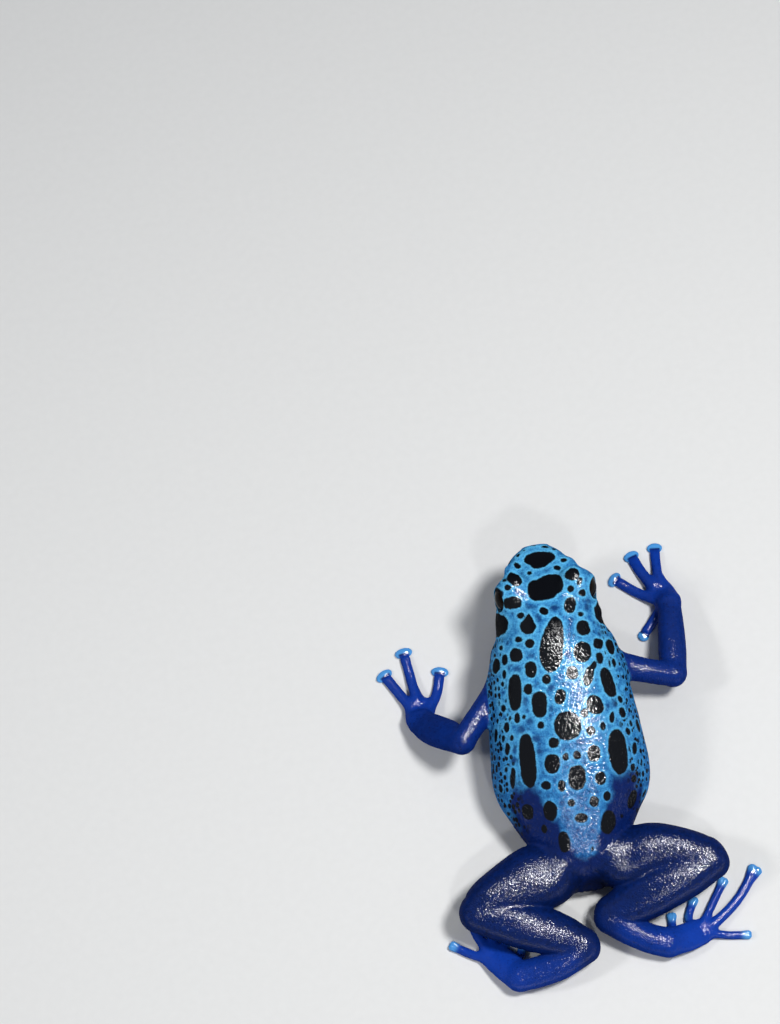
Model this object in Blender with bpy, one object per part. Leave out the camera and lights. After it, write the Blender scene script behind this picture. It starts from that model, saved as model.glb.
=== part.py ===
"""Blue poison dart frog (Dendrobates tinctorius, the azure form), life size, still.

The frog sits on z = 0 with its head towards +Y, its right side towards +X.  It
rests on its belly, its palms and fingers and its soles and toes, which are cut
flat at one level.  Sizes below are millimetres; meshes are made in metres.

Each named region of the body is one closed solid.  A solid is a loft of
ellipse-like rings along a smooth curve through a few named stations; where two
regions meet, the outer one is carved back by its neighbour grown by GAP.
"""
import math

import bmesh
import bpy
from mathutils import Vector

for old in list(bpy.data.objects):
    bpy.data.objects.remove(old, do_unlink=True)

# ----------------------------------------------------------------- sizes (mm)
MM = 0.001
GAP = 0.3                    # clearance between neighbouring solids
PITCH = math.radians(18.0)   # how far the body axis is raised from the floor
CENTRE = (-0.555, 14.53)        # body's design point that becomes the origin (x, y)
NECK = 30.6                  # where head and trunk part, along the body axis
EYE_RADIUS = 2.25
EYE = (4.40, 36.95, 2.55)     # centre: out from the midline, along, above the axis
LID = (3.90, 37.2, 3.75)     # brow over the eye
LID_RADII = (2.15, 2.6, 1.45)
SWAY = (-0.12, 18.0, 20.0)     # sideways bow of the trunk: amount, where, how far

# Stations of head and trunk along the body axis, rump to snout:
# along, half width, height of the back, height of the belly
BODY = [
    (-1.70, 1.9, 4.5, 2.0), (-0.60, 2.9, 5.3, 1.9), (0.70, 4.2, 6.5, 1.3), (2.40, 5.5, 7.8, 0.3),
    (4.60, 6.7, 8.2, -0.85), (7.20, 8.0, 8.45, -2.2), (10.0, 9.65, 8.7, -3.35),
    (13.0, 10.3, 8.9, -4.3), (17.0, 10.05, 9.0, -4.85), (21.0, 9.65, 8.8, -4.95),
    (25.0, 9.15, 8.4, -5.0), (28.0, 8.65, 7.9, -4.85), (30.2, 8.05, 7.45, -4.6),
    (32.0, 7.15, 7.0, -4.35), (34.0, 6.95, 6.35, -4.15), (36.2, 6.4, 5.4, -4.0),
    (38.3, 5.95, 4.0, -3.9), (40.3, 4.65, 2.4, -3.75), (41.4, 3.85, 1.4, -3.5),
    (42.4, 2.85, 0.85, -3.25), (43.1, 1.8, 0.2, -2.8),
]
RUMP_TIP, SNOUT_TIP = (-2.15, 3.2), (43.45, -1.2)   # along, height

# Limb stations: x, y, z of the middle, half width, half thickness
LIMBS = {
    "upper_arm_left": [(-6.4, 25.45, 7.8, 2.1, 2.1), (-9.3, 22.3, 8.4, 1.65, 1.7),
                       (-11.9, 19.2, 8.9, 1.55, 1.6), (-13.4, 17.4, 8.9, 1.55, 1.6)],
    "forearm_left": [(-13.6, 17.4, 8.6, 1.65, 1.6), (-15.4, 19.3, 6.6, 2.1, 1.75),
                     (-17.3, 21.2, 4.2, 2.1, 1.6), (-18.6, 22.8, 2.7, 1.8, 1.2)],
    "upper_arm_right": [(5.6, 26.1, 7.8, 2.1, 2.2), (9.1, 24.93, 7.2, 1.75, 1.8),
                        (12.3, 24.0, 6.4, 1.6, 1.65), (15.1, 23.6, 5.3, 1.65, 1.7)],
    "forearm_right": [(15.3, 23.8, 5.0, 1.7, 1.7), (15.7, 27.3, 4.4, 1.85, 1.7),
                      (16.2, 31.5, 3.3, 1.7, 1.5), (16.5, 34.2, 2.5, 1.55, 1.25)],
    "thigh_left": [(-2.3, 0.9, 4.5, 3.3, 3.2), (-5.3, -0.6, 4.7, 4.3, 3.9),
                   (-9.5, -1.9, 5.1, 3.8, 3.5), (-13.0, -3.1, 5.6, 2.9, 2.9),
                   (-14.6, -4.2, 5.5, 2.3, 2.5)],
    "shank_left": [(-14.7, -4.9, 5.4, 2.2, 2.4), (-11.4, -5.9, 5.1, 2.85, 2.7),
                   (-8.0, -7.2, 4.7, 3.1, 2.75), (-4.4, -8.7, 4.0, 2.75, 2.45),
                   (-1.9, -9.9, 3.4, 2.1, 2.15)],
    "tarsus_left": [(-1.8, -10.5, 3.2, 2.0, 2.05), (-5.0, -11.9, 2.9, 2.0, 2.0),
                    (-8.0, -12.5, 2.5, 2.0, 1.85), (-10.3, -12.7, 2.2, 1.95, 1.75)],
    "thigh_right": [(2.0, 0.9, 4.5, 3.3, 3.2), (4.8, 0.3, 4.7, 4.15, 3.9),
                    (9.0, 0.4, 5.1, 3.6, 3.5), (12.9, -0.4, 5.6, 2.9, 2.9),
                    (15.3, -1.2, 5.5, 2.4, 2.5)],
    "shank_right": [(16.0, -2.3, 5.4, 2.2, 2.4), (12.6, -3.4, 5.2, 2.85, 2.7),
                    (8.7, -4.5, 4.8, 3.2, 2.75), (5.2, -5.6, 4.1, 2.95, 2.5),
                    (2.4, -6.3, 3.4, 2.2, 2.2)],
    "tarsus_right": [(1.9, -7.1, 3.2, 1.95, 2.0), (4.2, -8.8, 2.9, 1.9, 2.0),
                     (6.6, -10.2, 2.5, 1.9, 1.85), (8.8, -11.0, 2.2, 1.9, 1.75)],
}

# Palm or sole, then the digits: three points of each digit's middle line
# (base, bend, tip), the half width of its shaft and of its disc
PAWS = {
    "hand_left": {
        "palm": [(-18.8, 23.2, 2.3, 1.75, 1.15), (-18.6, 24.7, 1.15, 1.95, 0.85),
                 (-18.5, 26.1, 0.70, 1.75, 0.78)],
        "digits": [((-17.4, 23.2, 1.5), (-16.2, 21.8, 0.56), (-15.0, 20.2, 0.40), 0.62, 0.72),
                   ((-17.4, 24.6, 1.3), (-16.0, 27.2, 0.53), (-15.2, 30.2, 0.40), 0.68, 1.15),
                   ((-18.8, 26.2, 1.2), (-19.2, 29.8, 0.53), (-19.7, 33.6, 0.40), 0.66, 1.15),
                   ((-19.6, 25.4, 1.2), (-21.2, 28.2, 0.53), (-22.7, 30.8, 0.40), 0.68, 1.15)],
    },
    "hand_right": {
        "palm": [(16.6, 34.9, 2.2, 1.5, 1.15), (15.9, 36.6, 1.15, 1.7, 0.85),
                 (15.3, 38.4, 0.70, 1.4, 0.78)],
        "digits": [((15.6, 34.5, 1.5), (14.1, 32.9, 0.56), (12.5, 31.1, 0.40), 0.66, 0.75),
                   ((15.2, 35.4, 1.4), (12.5, 37.4, 0.53), (9.9, 39.7, 0.40), 0.68, 1.08),
                   ((14.9, 37.6, 1.2), (13.6, 40.2, 0.53), (12.7, 42.7, 0.40), 0.74, 1.05),
                   ((15.8, 37.4, 1.2), (15.8, 40.5, 0.53), (16.0, 43.4, 0.40), 0.66, 1.0)],
    },
    "foot_left": {
        "palm": [(-10.5, -12.8, 2.1, 1.85, 1.6), (-11.9, -11.0, 1.6, 1.95, 1.2),
                 (-13.3, -9.3, 0.95, 1.85, 0.85), (-14.1, -8.2, 0.65, 1.5, 0.7)],
        "digits": [((-11.4, -11.2, 1.3), (-10.1, -9.6, 0.53), (-9.4, -8.1, 0.40), 0.56, 0.68),
                   ((-12.4, -9.9, 1.1), (-11.6, -7.9, 0.52), (-10.6, -5.9, 0.40), 0.56, 0.68),
                   ((-13.4, -8.8, 1.0), (-13.2, -6.0, 0.52), (-12.1, -3.1, 0.40), 0.58, 0.75),
                   ((-14.0, -8.8, 1.0), (-15.4, -5.2, 0.52), (-14.4, -1.6, 0.40), 0.66, 0.95),
                   ((-13.6, -9.9, 1.0), (-16.2, -8.6, 0.52), (-18.7, -7.0, 0.40), 0.58, 0.66)],
    },
    "foot_right": {
        "palm": [(9.2, -11.0, 2.1, 1.85, 1.6), (11.2, -10.6, 1.6, 1.85, 1.2),
                 (13.4, -9.9, 0.95, 1.7, 0.85), (14.6, -9.5, 0.65, 1.35, 0.7)],
        "digits": [((10.4, -10.6, 1.3), (9.9, -8.9, 0.53), (10.0, -7.1, 0.40), 0.56, 0.68),
                   ((12.5, -9.9, 1.1), (12.1, -7.9, 0.52), (13.2, -5.4, 0.40), 0.55, 0.68),
                   ((13.7, -9.2, 1.0), (15.5, -6.4, 0.52), (17.5, -3.4, 0.40), 0.55, 0.70),
                   ((14.2, -9.9, 1.0), (18.6, -6.5, 0.52), (21.9, -2.4, 0.40), 0.66, 1.0),
                   ((14.2, -10.2, 1.0), (16.8, -10.8, 0.52), (19.5, -11.1, 0.40), 0.52, 0.58)],
    },
}
# A digit along its length: fraction, half width (0 shaft .. 1 disc), thickness
DIGIT = [(0.0, 0.25, 1.25), (0.45, -0.05, 1.0), (0.80, -0.05, 0.9),
         (0.90, 0.6, 0.8), (0.965, 1.0, 0.72)]
DIGIT_THICK = 0.62           # half thickness of a digit's shaft


# ------------------------------------------------------------------- geometry
def spline(points, t):
    """Catmull-Rom curve through tuples of numbers; t runs 0 .. len(points)-1."""
    last = len(points) - 1
    i = min(int(t), last - 1)
    f = t - i
    p1, p2 = points[i], points[i + 1]
    p0 = points[i - 1] if i else [2 * a - b for a, b in zip(p1, p2)]
    p3 = points[i + 2] if i + 2 <= last else [2 * b - a for a, b in zip(p1, p2)]
    return [0.5 * (2 * b + (c - a) * f + (2 * a - 5 * b + 4 * c - d) * f * f
                   + (3 * b - a - 3 * c + d) * f ** 3)
            for a, b, c, d in zip(p0, p1, p2, p3)]


def world(out, along, up):
    """Body frame (out from the midline, along the axis, above it) to the model."""
    return Vector((out, along * math.cos(PITCH) - up * math.sin(PITCH),
                   along * math.sin(PITCH) + up * math.cos(PITCH)))


def metres(point):
    return Vector(((point[0] - CENTRE[0]) * MM, (point[1] - CENTRE[1]) * MM, point[2] * MM))


def skin(name, rings, start=None, end=None):
    """Closed body from rings of points; an end without a tip point is capped flat."""
    bm = bmesh.new()
    loops = [[bm.verts.new(metres(p)) for p in ring] for ring in rings]
    n = len(loops[0])
    for a, b in zip(loops, loops[1:]):
        for i in range(n):
            bm.faces.new((a[i], a[(i + 1) % n], b[(i + 1) % n], b[i]))
    for loop, tip in ((loops[0][::-1], start), (loops[-1], end)):
        if tip is None:
            bm.faces.new(loop)
        else:
            v = bm.verts.new(metres(tip))
            for i in range(n):
                bm.faces.new((loop[i], loop[(i + 1) % n], v))
    bmesh.ops.recalc_face_normals(bm, faces=bm.faces)
    mesh = bpy.data.meshes.new(name)
    bm.to_mesh(mesh)
    bm.free()
    obj = bpy.data.objects.new(name, mesh)
    bpy.context.scene.collection.objects.link(obj)
    return obj


def section(along, half, back, belly, sides, grow=0.0):
    """One ring of head or trunk: rounder above, flatter below, boxier in the head."""
    head = min(1.0, max(0.0, (along - 29.0) / 6.0))
    middle = belly + (0.43 - 0.09 * head) * (back - belly)
    power = 2.0 / (2.15 + 0.25 * head)
    bow = SWAY[0] * math.exp(-((along - SWAY[1]) / SWAY[2]) ** 2)
    ring = []
    for k in range(sides):
        a = 2 * math.pi * (k + 0.5) / sides
        c, s = math.cos(a), math.sin(a)
        reach = (back - middle if s > 0 else middle - belly) + grow
        ring.append(world(bow + (half + grow) * math.copysign(abs(c) ** power, c), along,
                          middle + reach * math.copysign(abs(s) ** power, s)))
    return ring


def body(name, low, high, sides, step, grow=0.0):
    """The stretch of head and trunk between two places along the axis."""
    rings, t = [], 0.0
    while t <= len(BODY) - 1 + 1e-9:
        row = spline(BODY, t)
        if low < row[0] < high:
            rings.append(row)
        t += step
    for edge, at in ((low, 0), (high, len(rings))):
        if BODY[0][0] < edge < BODY[-1][0]:
            i = max(k for k in range(len(BODY)) if BODY[k][0] <= edge)
            f = (edge - BODY[i][0]) / (BODY[i + 1][0] - BODY[i][0])
            row = spline(BODY, i + f)
            row[0] = edge
            rings.insert(at, row)
    start = None if low > BODY[0][0] else world(0, RUMP_TIP[0] - grow, RUMP_TIP[1])
    end = None if high < BODY[-1][0] else world(0, SNOUT_TIP[0] + grow, SNOUT_TIP[1])
    return skin(name, [section(*row, sides, grow) for row in rings], start, end)


def tube(name, stations, sides, step, grow=0.0, dome=(0.6, 1.1)):
    """Elliptical tube through stations (x, y, z, half width, half thickness),
    with a rounded cap at each end, its rings at the angles in dome."""
    rows, t = [], 0.0
    while t <= len(stations) - 1 + 1e-9:
        rows.append((t, spline(stations, t)))
        t += step
    last = len(stations) - 1

    def frame(t):
        a, b = spline(stations, max(0.0, t - 0.02)), spline(stations, min(last, t + 0.02))
        along = (Vector(b[:3]) - Vector(a[:3])).normalized()
        side = along.cross(Vector((0, 0, 1))).normalized()
        return along, side, side.cross(along)

    def ring(row, t, scale=1.0, shift=0.0):
        along, side, up = frame(t)
        middle = Vector(row[:3]) + along * shift
        out = []
        for k in range(sides):
            a = 2 * math.pi * (k + 0.5) / sides
            out.append(middle + side * (math.cos(a) * (row[3] + grow) * scale)
                       + up * (math.sin(a) * (row[4] + grow) * scale))
        return out

    first, final = rows[0][1], rows[-1][1]
    r0, r1 = min(first[3:5]) + grow, min(final[3:5]) + grow
    rings = [ring(first, 0, math.cos(q), -r0 * math.sin(q)) for q in dome[::-1]]
    rings += [ring(row, t) for t, row in rows]
    rings += [ring(final, last, math.cos(q), r1 * math.sin(q)) for q in dome]
    start = Vector(first[:3]) - frame(0)[0] * r0
    end = Vector(final[:3]) + frame(last)[0] * r1
    return skin(name, rings, start, end)


def digit(name, base, bend, tip, shaft, disc):
    """Finger or toe with its widened disc, along a curve of three points."""
    stations = []
    for f, wide, thick in DIGIT:
        x, y, z = spline([base, bend, tip], 2 * f)
        stations.append((x, y, z, shaft + (disc - shaft) * wide, DIGIT_THICK * thick))
    return tube(name, stations, 8, 1.0, dome=(0.85,))


def ellipsoid(name, centre, radii, rings=12, turns=20):
    """Ellipsoid whose axes follow the body frame."""
    loops = []
    for i in range(1, rings):
        a = math.pi * i / rings
        loops.append([world(centre[0] + radii[0] * math.sin(a) * math.cos(2 * math.pi * k / turns),
                            centre[1] - radii[1] * math.cos(a),
                            centre[2] + radii[2] * math.sin(a) * math.sin(2 * math.pi * k / turns))
                      for k in range(turns)])
    return skin(name, loops, world(centre[0], centre[1] - radii[1], centre[2]),
                world(centre[0], centre[1] + radii[1], centre[2]))


def combine(target, tool, operation):
    """Add or take away another shape, which stays in the file as a hidden guide."""
    tool.hide_render = True
    tool.display_type = "WIRE"
    mod = target.modifiers.new(tool.name, "BOOLEAN")
    mod.operation = operation
    mod.solver = "EXACT"
    mod.object = tool


def box(name, low, high):
    ring = lambda z: [(low[0], low[1], z), (high[0], low[1], z),
                      (high[0], high[1], z), (low[0], high[1], z)]
    return skin(name, [ring(low[2]), ring(high[2])])


def paint(obj, name, colour, roughness):
    mat = bpy.data.materials.get(name)
    if mat is None:
        mat = bpy.data.materials.new(name)
        mat.use_nodes = True
        bsdf = mat.node_tree.nodes["Principled BSDF"]
        bsdf.inputs["Base Color"].default_value = (*colour, 1.0)
        bsdf.inputs["Roughness"].default_value = roughness
        bsdf.inputs["Metallic"].default_value = 0.0
    obj.data.materials.append(mat)
    obj.data.shade_smooth()


BACK, NAVY, DARK = (0.07, 0.33, 0.80), (0.008, 0.03, 0.28), (0.01, 0.008, 0.006)

# ---------------------------------------------------------------------- build
floor = box("floor_cut", (-60, -60, -20), (60, 90, 0.0))

trunk = body("trunk", -99, NECK - GAP / 2, 26, 0.67)
combine(trunk, floor, "DIFFERENCE")
paint(trunk, "blue_back", BACK, 0.3)

head = body("head", NECK + GAP / 2, 99, 26, 0.6)
for side, sign in (("left", -1), ("right", 1)):
    lid = ellipsoid("lid_" + side, (sign * LID[0], LID[1], LID[2]), LID_RADII, 8, 14)
    combine(head, lid, "UNION")
for side, sign in (("left", -1), ("right", 1)):
    where = (sign * EYE[0], EYE[1], EYE[2])
    socket = ellipsoid("socket_" + side, where, (EYE_RADIUS + GAP,) * 3, 8, 16)
    combine(head, socket, "DIFFERENCE")
    eye = ellipsoid("eye_" + side, where, (EYE_RADIUS,) * 3, 8, 16)
    paint(eye, "black_eye", DARK, 0.1)
paint(head, "blue_back", BACK, 0.3)

made, grown = {}, {"trunk": body("trunk_grown", -99, 99, 26, 1.0, GAP)}
for name, stations in LIMBS.items():
    made[name] = tube(name, stations, 12, 0.5)
    grown[name] = tube(name + "_grown", stations, 12, 0.5, GAP)
for name, parts in PAWS.items():
    paw = tube(name, parts["palm"], 12, 0.5)
    for i, row in enumerate(parts["digits"]):
        combine(paw, digit("%s_digit_%d" % (name, i + 1), *row), "UNION")
    made[name] = paw

CUTS = {
    "upper_arm_%s": ["trunk"], "forearm_%s": ["upper_arm_%s"], "hand_%s": ["forearm_%s"],
    "thigh_%s": ["trunk"], "shank_%s": ["thigh_%s"], "tarsus_%s": ["shank_%s", "thigh_%s"],
    "foot_%s": ["tarsus_%s", "shank_%s"],
}
for pattern, neighbours in CUTS.items():
    for side in ("left", "right"):
        obj = made[pattern % side]
        for other in neighbours:
            key = other % side if "%s" in other else other
            combine(obj, grown[key], "DIFFERENCE")
        if pattern.split("_")[0] in ("hand", "foot"):
            combine(obj, floor, "DIFFERENCE")
        paint(obj, "blue_limbs", NAVY, 0.28)

for guide in grown.values():
    guide.hide_render = True
    guide.display_type = "WIRE"
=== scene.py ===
"""Looks of the blue poison dart frog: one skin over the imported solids, two glossy
eyes, a pale floor, soft studio light and the camera.

The skin is worked out as a distance field: each region of the body is a fine loft
of the same stations as the solids, neighbours are blended where they meet, the
lids, nostrils, mouth and folds are added, and the zero surface becomes the mesh.
Lengths in this file are millimetres in the model's frame unless they say otherwise;
the meshes are made in metres.
"""

import math

import bmesh
import bpy
import numpy as np
from mathutils import Matrix
from mathutils.bvhtree import BVHTree


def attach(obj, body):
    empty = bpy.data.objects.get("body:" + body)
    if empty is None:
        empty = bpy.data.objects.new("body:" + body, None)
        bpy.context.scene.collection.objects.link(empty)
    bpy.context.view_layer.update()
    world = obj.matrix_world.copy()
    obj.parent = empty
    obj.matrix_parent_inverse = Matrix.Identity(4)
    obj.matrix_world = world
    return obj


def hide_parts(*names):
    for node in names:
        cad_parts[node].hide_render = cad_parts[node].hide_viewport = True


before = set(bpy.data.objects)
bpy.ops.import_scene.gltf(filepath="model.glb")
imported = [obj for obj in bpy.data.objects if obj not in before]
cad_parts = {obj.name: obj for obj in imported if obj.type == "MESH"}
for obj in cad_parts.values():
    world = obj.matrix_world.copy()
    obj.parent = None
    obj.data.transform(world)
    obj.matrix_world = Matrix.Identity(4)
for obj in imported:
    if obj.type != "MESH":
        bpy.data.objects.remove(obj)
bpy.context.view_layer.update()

# ------------------------------------------------ stations, as in the solids (mm)
MM = 0.001
PITCH = math.radians(18.0)
COS, SIN = math.cos(PITCH), math.sin(PITCH)
CENTRE = np.array([-0.555, 14.53, 0.0])
EYE_RADIUS = 2.25
EYE = (4.40, 36.95, 2.55)
LID = (3.90, 37.2, 3.75)
LID_RADII = (2.15, 2.6, 1.45)
SWAY = (-0.12, 18.0, 20.0)
RUMP_TIP, SNOUT_TIP = (-2.15, 3.2), (43.45, -1.2)

BODY = [
    (-1.70, 1.9, 4.5, 2.0), (-0.60, 2.9, 5.3, 1.9), (0.70, 4.2, 6.5, 1.3), (2.40, 5.5, 7.8, 0.3),
    (4.60, 6.7, 8.2, -0.85), (7.20, 8.0, 8.45, -2.2), (10.0, 9.65, 8.7, -3.35),
    (13.0, 10.3, 8.9, -4.3), (17.0, 10.05, 9.0, -4.85), (21.0, 9.65, 8.8, -4.95),
    (25.0, 9.15, 8.4, -5.0), (28.0, 8.65, 7.9, -4.85), (30.2, 8.05, 7.45, -4.6),
    (32.0, 7.15, 7.0, -4.35), (34.0, 6.95, 6.35, -4.15), (36.2, 6.4, 5.4, -4.0),
    (38.3, 5.95, 4.0, -3.9), (40.3, 4.65, 2.4, -3.75), (41.4, 3.85, 1.4, -3.5),
    (42.4, 2.85, 0.85, -3.25), (43.1, 1.8, 0.2, -2.8),
]

LIMBS = {
    "upper_arm_left": [(-6.4, 25.45, 7.8, 2.1, 2.1), (-9.3, 22.3, 8.4, 1.65, 1.7),
                       (-11.9, 19.2, 8.9, 1.55, 1.6), (-13.4, 17.4, 8.9, 1.55, 1.6)],
    "forearm_left": [(-13.6, 17.4, 8.6, 1.65, 1.6), (-15.4, 19.3, 6.6, 2.1, 1.75),
                     (-17.3, 21.2, 4.2, 2.1, 1.6), (-18.6, 22.8, 2.7, 1.8, 1.2)],
    "upper_arm_right": [(5.6, 26.1, 7.8, 2.1, 2.2), (9.1, 24.93, 7.2, 1.75, 1.8),
                        (12.3, 24.0, 6.4, 1.6, 1.65), (15.1, 23.6, 5.3, 1.65, 1.7)],
    "forearm_right": [(15.3, 23.8, 5.0, 1.7, 1.7), (15.7, 27.3, 4.4, 1.85, 1.7),
                      (16.2, 31.5, 3.3, 1.7, 1.5), (16.5, 34.2, 2.5, 1.55, 1.25)],
    "thigh_left": [(-2.3, 0.9, 4.5, 3.3, 3.2), (-5.3, -0.6, 4.7, 4.3, 3.9),
                   (-9.5, -1.9, 5.1, 3.8, 3.5), (-13.0, -3.1, 5.6, 2.9, 2.9),
                   (-14.6, -4.2, 5.5, 2.3, 2.5)],
    "shank_left": [(-14.7, -4.9, 5.4, 2.2, 2.4), (-11.4, -5.9, 5.1, 2.85, 2.7),
                   (-8.0, -7.2, 4.7, 3.1, 2.75), (-4.4, -8.7, 4.0, 2.75, 2.45),
                   (-1.9, -9.9, 3.4, 2.1, 2.15)],
    "tarsus_left": [(-1.8, -10.5, 3.2, 2.0, 2.05), (-5.0, -11.9, 2.9, 2.0, 2.0),
                    (-8.0, -12.5, 2.5, 2.0, 1.85), (-10.3, -12.7, 2.2, 1.95, 1.75)],
    "thigh_right": [(2.0, 0.9, 4.5, 3.3, 3.2), (4.8, 0.3, 4.7, 4.15, 3.9),
                    (9.0, 0.4, 5.1, 3.6, 3.5), (12.9, -0.4, 5.6, 2.9, 2.9),
                    (15.3, -1.2, 5.5, 2.4, 2.5)],
    "shank_right": [(16.0, -2.3, 5.4, 2.2, 2.4), (12.6, -3.4, 5.2, 2.85, 2.7),
                    (8.7, -4.5, 4.8, 3.2, 2.75), (5.2, -5.6, 4.1, 2.95, 2.5),
                    (2.4, -6.3, 3.4, 2.2, 2.2)],
    "tarsus_right": [(1.9, -7.1, 3.2, 1.95, 2.0), (4.2, -8.8, 2.9, 1.9, 2.0),
                     (6.6, -10.2, 2.5, 1.9, 1.85), (8.8, -11.0, 2.2, 1.9, 1.75)],
}

PAWS = {
    "hand_left": {
        "palm": [(-18.8, 23.2, 2.3, 1.75, 1.15), (-18.6, 24.7, 1.15, 1.95, 0.85),
                 (-18.5, 26.1, 0.70, 1.75, 0.78)],
        "digits": [((-17.4, 23.2, 1.5), (-16.2, 21.8, 0.56), (-15.0, 20.2, 0.40), 0.62, 0.72),
                   ((-17.4, 24.6, 1.3), (-16.0, 27.2, 0.53), (-15.2, 30.2, 0.40), 0.68, 1.15),
                   ((-18.8, 26.2, 1.2), (-19.2, 29.8, 0.53), (-19.7, 33.6, 0.40), 0.66, 1.15),
                   ((-19.6, 25.4, 1.2), (-21.2, 28.2, 0.53), (-22.7, 30.8, 0.40), 0.68, 1.15)],
    },
    "hand_right": {
        "palm": [(16.6, 34.9, 2.2, 1.5, 1.15), (15.9, 36.6, 1.15, 1.7, 0.85),
                 (15.3, 38.4, 0.70, 1.4, 0.78)],
        "digits": [((15.6, 34.5, 1.5), (14.1, 32.9, 0.56), (12.5, 31.1, 0.40), 0.66, 0.75),
                   ((15.2, 35.4, 1.4), (12.5, 37.4, 0.53), (9.9, 39.7, 0.40), 0.68, 1.08),
                   ((14.9, 37.6, 1.2), (13.6, 40.2, 0.53), (12.7, 42.7, 0.40), 0.74, 1.05),
                   ((15.8, 37.4, 1.2), (15.8, 40.5, 0.53), (16.0, 43.4, 0.40), 0.66, 1.0)],
    },
    "foot_left": {
        "palm": [(-10.5, -12.8, 2.1, 1.85, 1.6), (-11.9, -11.0, 1.6, 1.95, 1.2),
                 (-13.3, -9.3, 0.95, 1.85, 0.85), (-14.1, -8.2, 0.65, 1.5, 0.7)],
        "digits": [((-11.4, -11.2, 1.3), (-10.1, -9.6, 0.53), (-9.4, -8.1, 0.40), 0.56, 0.68),
                   ((-12.4, -9.9, 1.1), (-11.6, -7.9, 0.52), (-10.6, -5.9, 0.40), 0.56, 0.68),
                   ((-13.4, -8.8, 1.0), (-13.2, -6.0, 0.52), (-12.1, -3.1, 0.40), 0.58, 0.75),
                   ((-14.0, -8.8, 1.0), (-15.4, -5.2, 0.52), (-14.4, -1.6, 0.40), 0.66, 0.95),
                   ((-13.6, -9.9, 1.0), (-16.2, -8.6, 0.52), (-18.7, -7.0, 0.40), 0.58, 0.66)],
    },
    "foot_right": {
        "palm": [(9.2, -11.0, 2.1, 1.85, 1.6), (11.2, -10.6, 1.6, 1.85, 1.2),
                 (13.4, -9.9, 0.95, 1.7, 0.85), (14.6, -9.5, 0.65, 1.35, 0.7)],
        "digits": [((10.4, -10.6, 1.3), (9.9, -8.9, 0.53), (10.0, -7.1, 0.40), 0.56, 0.68),
                   ((12.5, -9.9, 1.1), (12.1, -7.9, 0.52), (13.2, -5.4, 0.40), 0.55, 0.68),
                   ((13.7, -9.2, 1.0), (15.5, -6.4, 0.52), (17.5, -3.4, 0.40), 0.55, 0.70),
                   ((14.2, -9.9, 1.0), (18.6, -6.5, 0.52), (21.9, -2.4, 0.40), 0.66, 1.0),
                   ((14.2, -10.2, 1.0), (16.8, -10.8, 0.52), (19.5, -11.1, 0.40), 0.52, 0.58)],
    },
}
# along a digit: fraction of its length, half width (0 shaft .. 1 disc), thickness
DIGIT = [(0.0, 0.25, 1.25), (0.25, 0.02, 1.08), (0.45, -0.05, 1.0), (0.66, -0.08, 0.95),
         (0.80, 0.0, 0.9), (0.90, 0.62, 0.8), (0.965, 0.98, 0.72)]
DIGIT_THICK = 0.62


# --------------------------------------------------------------------- curves
def curve(points, t):
    """Catmull-Rom curve through rows of numbers, at an array of t in 0 .. rows-1."""
    p = np.asarray(points, float)
    t = np.atleast_1d(np.asarray(t, float))
    i = np.clip(t.astype(int), 0, len(p) - 2)
    f = (t - i)[:, None]
    e = np.vstack([2 * p[0] - p[1], p, 2 * p[-1] - p[-2]])
    a, b, c, d = e[i], e[i + 1], e[i + 2], e[i + 3]
    return 0.5 * (2 * b + (c - a) * f + (2 * a - 5 * b + 4 * c - d) * f * f
                  + (3 * b - a - 3 * c + d) * f ** 3)


def smooth(low, high, x):
    f = np.clip((x - low) / (high - low), 0.0, 1.0)
    return f * f * (3 - 2 * f)


def hump(x, width):
    return np.exp(-(x / width) ** 2)


def from_body(out, along, up):
    """Body frame (out from the midline, along the axis, above it) to the model."""
    return np.stack([out, along * COS - up * SIN, along * SIN + up * COS], -1) - CENTRE


def to_body(p):
    q = p + CENTRE
    return q[..., 0], q[..., 1] * COS + q[..., 2] * SIN, -q[..., 1] * SIN + q[..., 2] * COS


def profile(along, half, back, belly):
    """Middle height, reach above and below it, exponent and bow of a body ring."""
    head = np.clip((along - 29.0) / 6.0, 0.0, 1.0)
    middle = belly + (0.43 - 0.09 * head) * (back - belly)
    return (middle, back - middle, middle - belly, 2.0 / (2.15 + 0.25 * head),
            SWAY[0] * np.exp(-((along - SWAY[1]) / SWAY[2]) ** 2))


# ---------------------------------------------------------------------- lofts
def loft(rings, start, end):
    """Vertices and triangles of a closed tube from rings of equal length."""
    rings = np.asarray(rings)
    m, n = rings.shape[:2]
    verts = np.vstack([rings.reshape(-1, 3), start, end])
    i = np.arange(m - 1)[:, None] * n
    k = np.arange(n)[None, :]
    a, b = i + k, i + (k + 1) % n
    c, d = b + n, a + n
    tris = [np.stack([a, b, c], -1).reshape(-1, 3), np.stack([a, c, d], -1).reshape(-1, 3)]
    k = np.arange(n)
    tris.append(np.stack([(k + 1) % n, k, np.full(n, m * n)], -1))
    last = (m - 1) * n
    tris.append(np.stack([last + k, last + (k + 1) % n, np.full(n, m * n + 1)], -1))
    tris = np.vstack(tris)
    a, b, c = (verts[tris[:, j]] for j in range(3))
    if np.einsum("ij,ij->", a, np.cross(b, c)) < 0:
        tris = tris[:, ::-1]
    return verts, tris


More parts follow.
